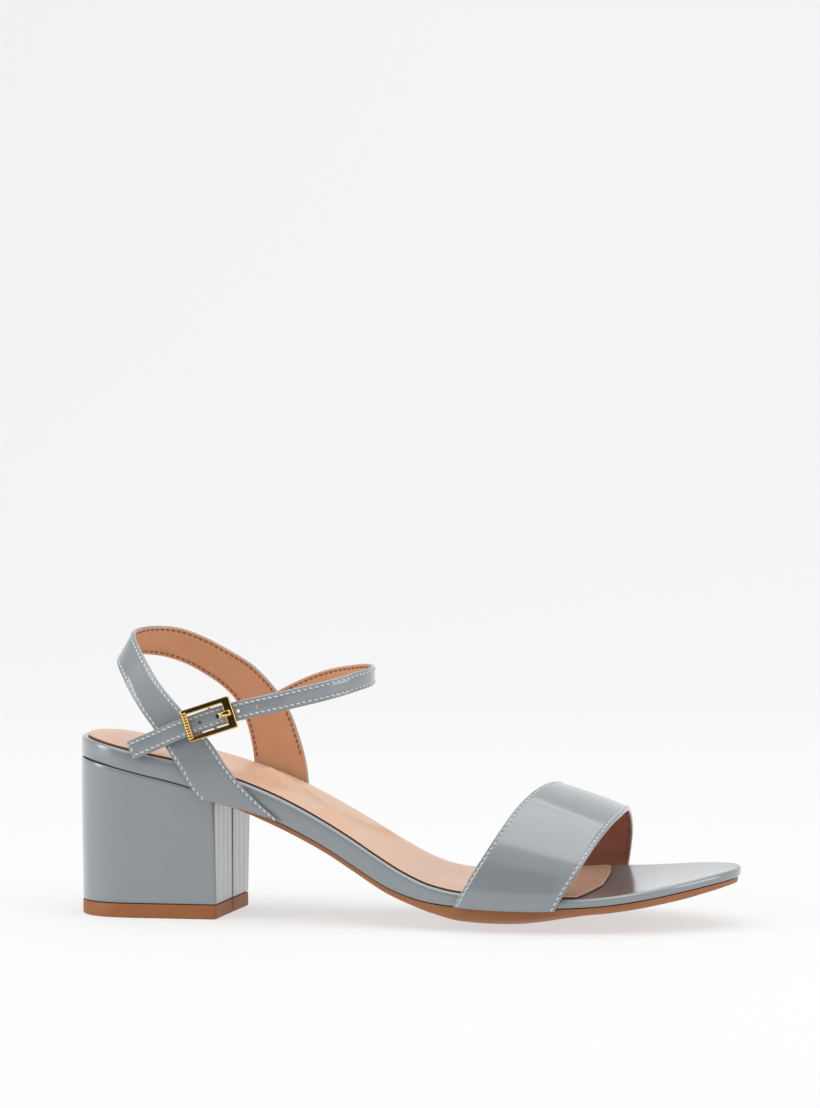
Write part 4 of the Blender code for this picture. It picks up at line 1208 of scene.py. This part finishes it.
class SANDAL_OT_bottom(bpy.types.Operator):
    """Build the layers under the foot: wrapped footbed, padded sock and outsole"""

    bl_idname = "sandal.bottom"
    bl_label = "Bottom"

    def execute(self, context):
        build_footbed()
        build_sock(context.scene.sandal_sizes)
        build_outsole()
        return {"FINISHED"}


class SANDAL_OT_heel(bpy.types.Operator):
    """Build the covered heel block and its lift"""

    bl_idname = "sandal.heel"
    bl_label = "Heel"

    def execute(self, context):
        build_heel_block()
        build_top_lift()
        return {"FINISHED"}


class SANDAL_OT_straps(bpy.types.Operator):
    """Build the toe band, the heel strap and the ankle strap, with their seams and holes"""

    bl_idname = "sandal.straps"
    bl_label = "Straps"

    def execute(self, context):
        for build in (build_vamp, build_heel_strap, build_ankle_strap):
            build(context.scene.sandal_sizes)
        return {"FINISHED"}


class SANDAL_OT_buckle(bpy.types.Operator):
    """Build the buckle's frame, prong and leather loop"""

    bl_idname = "sandal.buckle"
    bl_label = "Buckle"

    def execute(self, context):
        build_buckle_frame(context.scene.sandal_sizes)
        build_buckle_prong()
        build_buckle_chape()
        return {"FINISHED"}


class SANDAL_OT_stage(bpy.types.Operator):
    """Set the floor, the lights and the camera"""

    bl_idname = "sandal.stage"
    bl_label = "Stage"

    def execute(self, context):
        build_sweep()
        build_flag()
        build_sky()
        build_camera()
        add_softbox("overhead", (0.05, -0.25, 1.4), (0, 0, 0), 1.5, 1.5, 1.9)
        add_softbox("left", (-1.5, -0.7, 0.6), (0, 0, 0.05), 0.6, 1.2, 5.0)
        add_softbox("right", (1.6, -0.4, 0.7), (0, 0, 0.05), 0.9, 1.2, 3.0)
        add_softbox("backdrop_light", (0.0, 1.2, 2.4), (0, 3.2, 0.6), 2.4, 1.0, 2.7)
        context.scene.view_settings.view_transform = "Standard"
        return {"FINISHED"}


class SANDAL_PT_panel(bpy.types.Panel):
    """The sandal's pieces, sizes and colours"""

    bl_idname = "SANDAL_PT_panel"
    bl_label = "Sandal"
    bl_space_type = "VIEW_3D"
    bl_region_type = "UI"
    bl_category = "Sandal"

    def draw(self, context):
        for operator in OPERATORS:
            self.layout.operator(operator.bl_idname)
        for group in (context.scene.sandal_sizes, context.scene.sandal_colours):
            box = self.layout.box()
            for name in group.__annotations__:
                box.prop(group, name)


OPERATORS = (
    SANDAL_OT_materials,
    SANDAL_OT_bottom,
    SANDAL_OT_heel,
    SANDAL_OT_straps,
    SANDAL_OT_buckle,
    SANDAL_OT_stage,
)
CLASSES = (SandalSizes, SandalColours, *OPERATORS, SANDAL_PT_panel)


def register():
    for item in CLASSES:
        bpy.utils.register_class(item)
    bpy.types.Scene.sandal_sizes = PointerProperty(type=SandalSizes)
    bpy.types.Scene.sandal_colours = PointerProperty(type=SandalColours)


def unregister():
    del bpy.types.Scene.sandal_colours
    del bpy.types.Scene.sandal_sizes
    for item in reversed(CLASSES):
        bpy.utils.unregister_class(item)


def main():
    register()
    bpy.ops.sandal.materials()
    bpy.ops.sandal.bottom()
    bpy.ops.sandal.heel()
    bpy.ops.sandal.straps()
    bpy.ops.sandal.buckle()
    bpy.ops.sandal.stage()


if __name__ == "__main__":
    main()
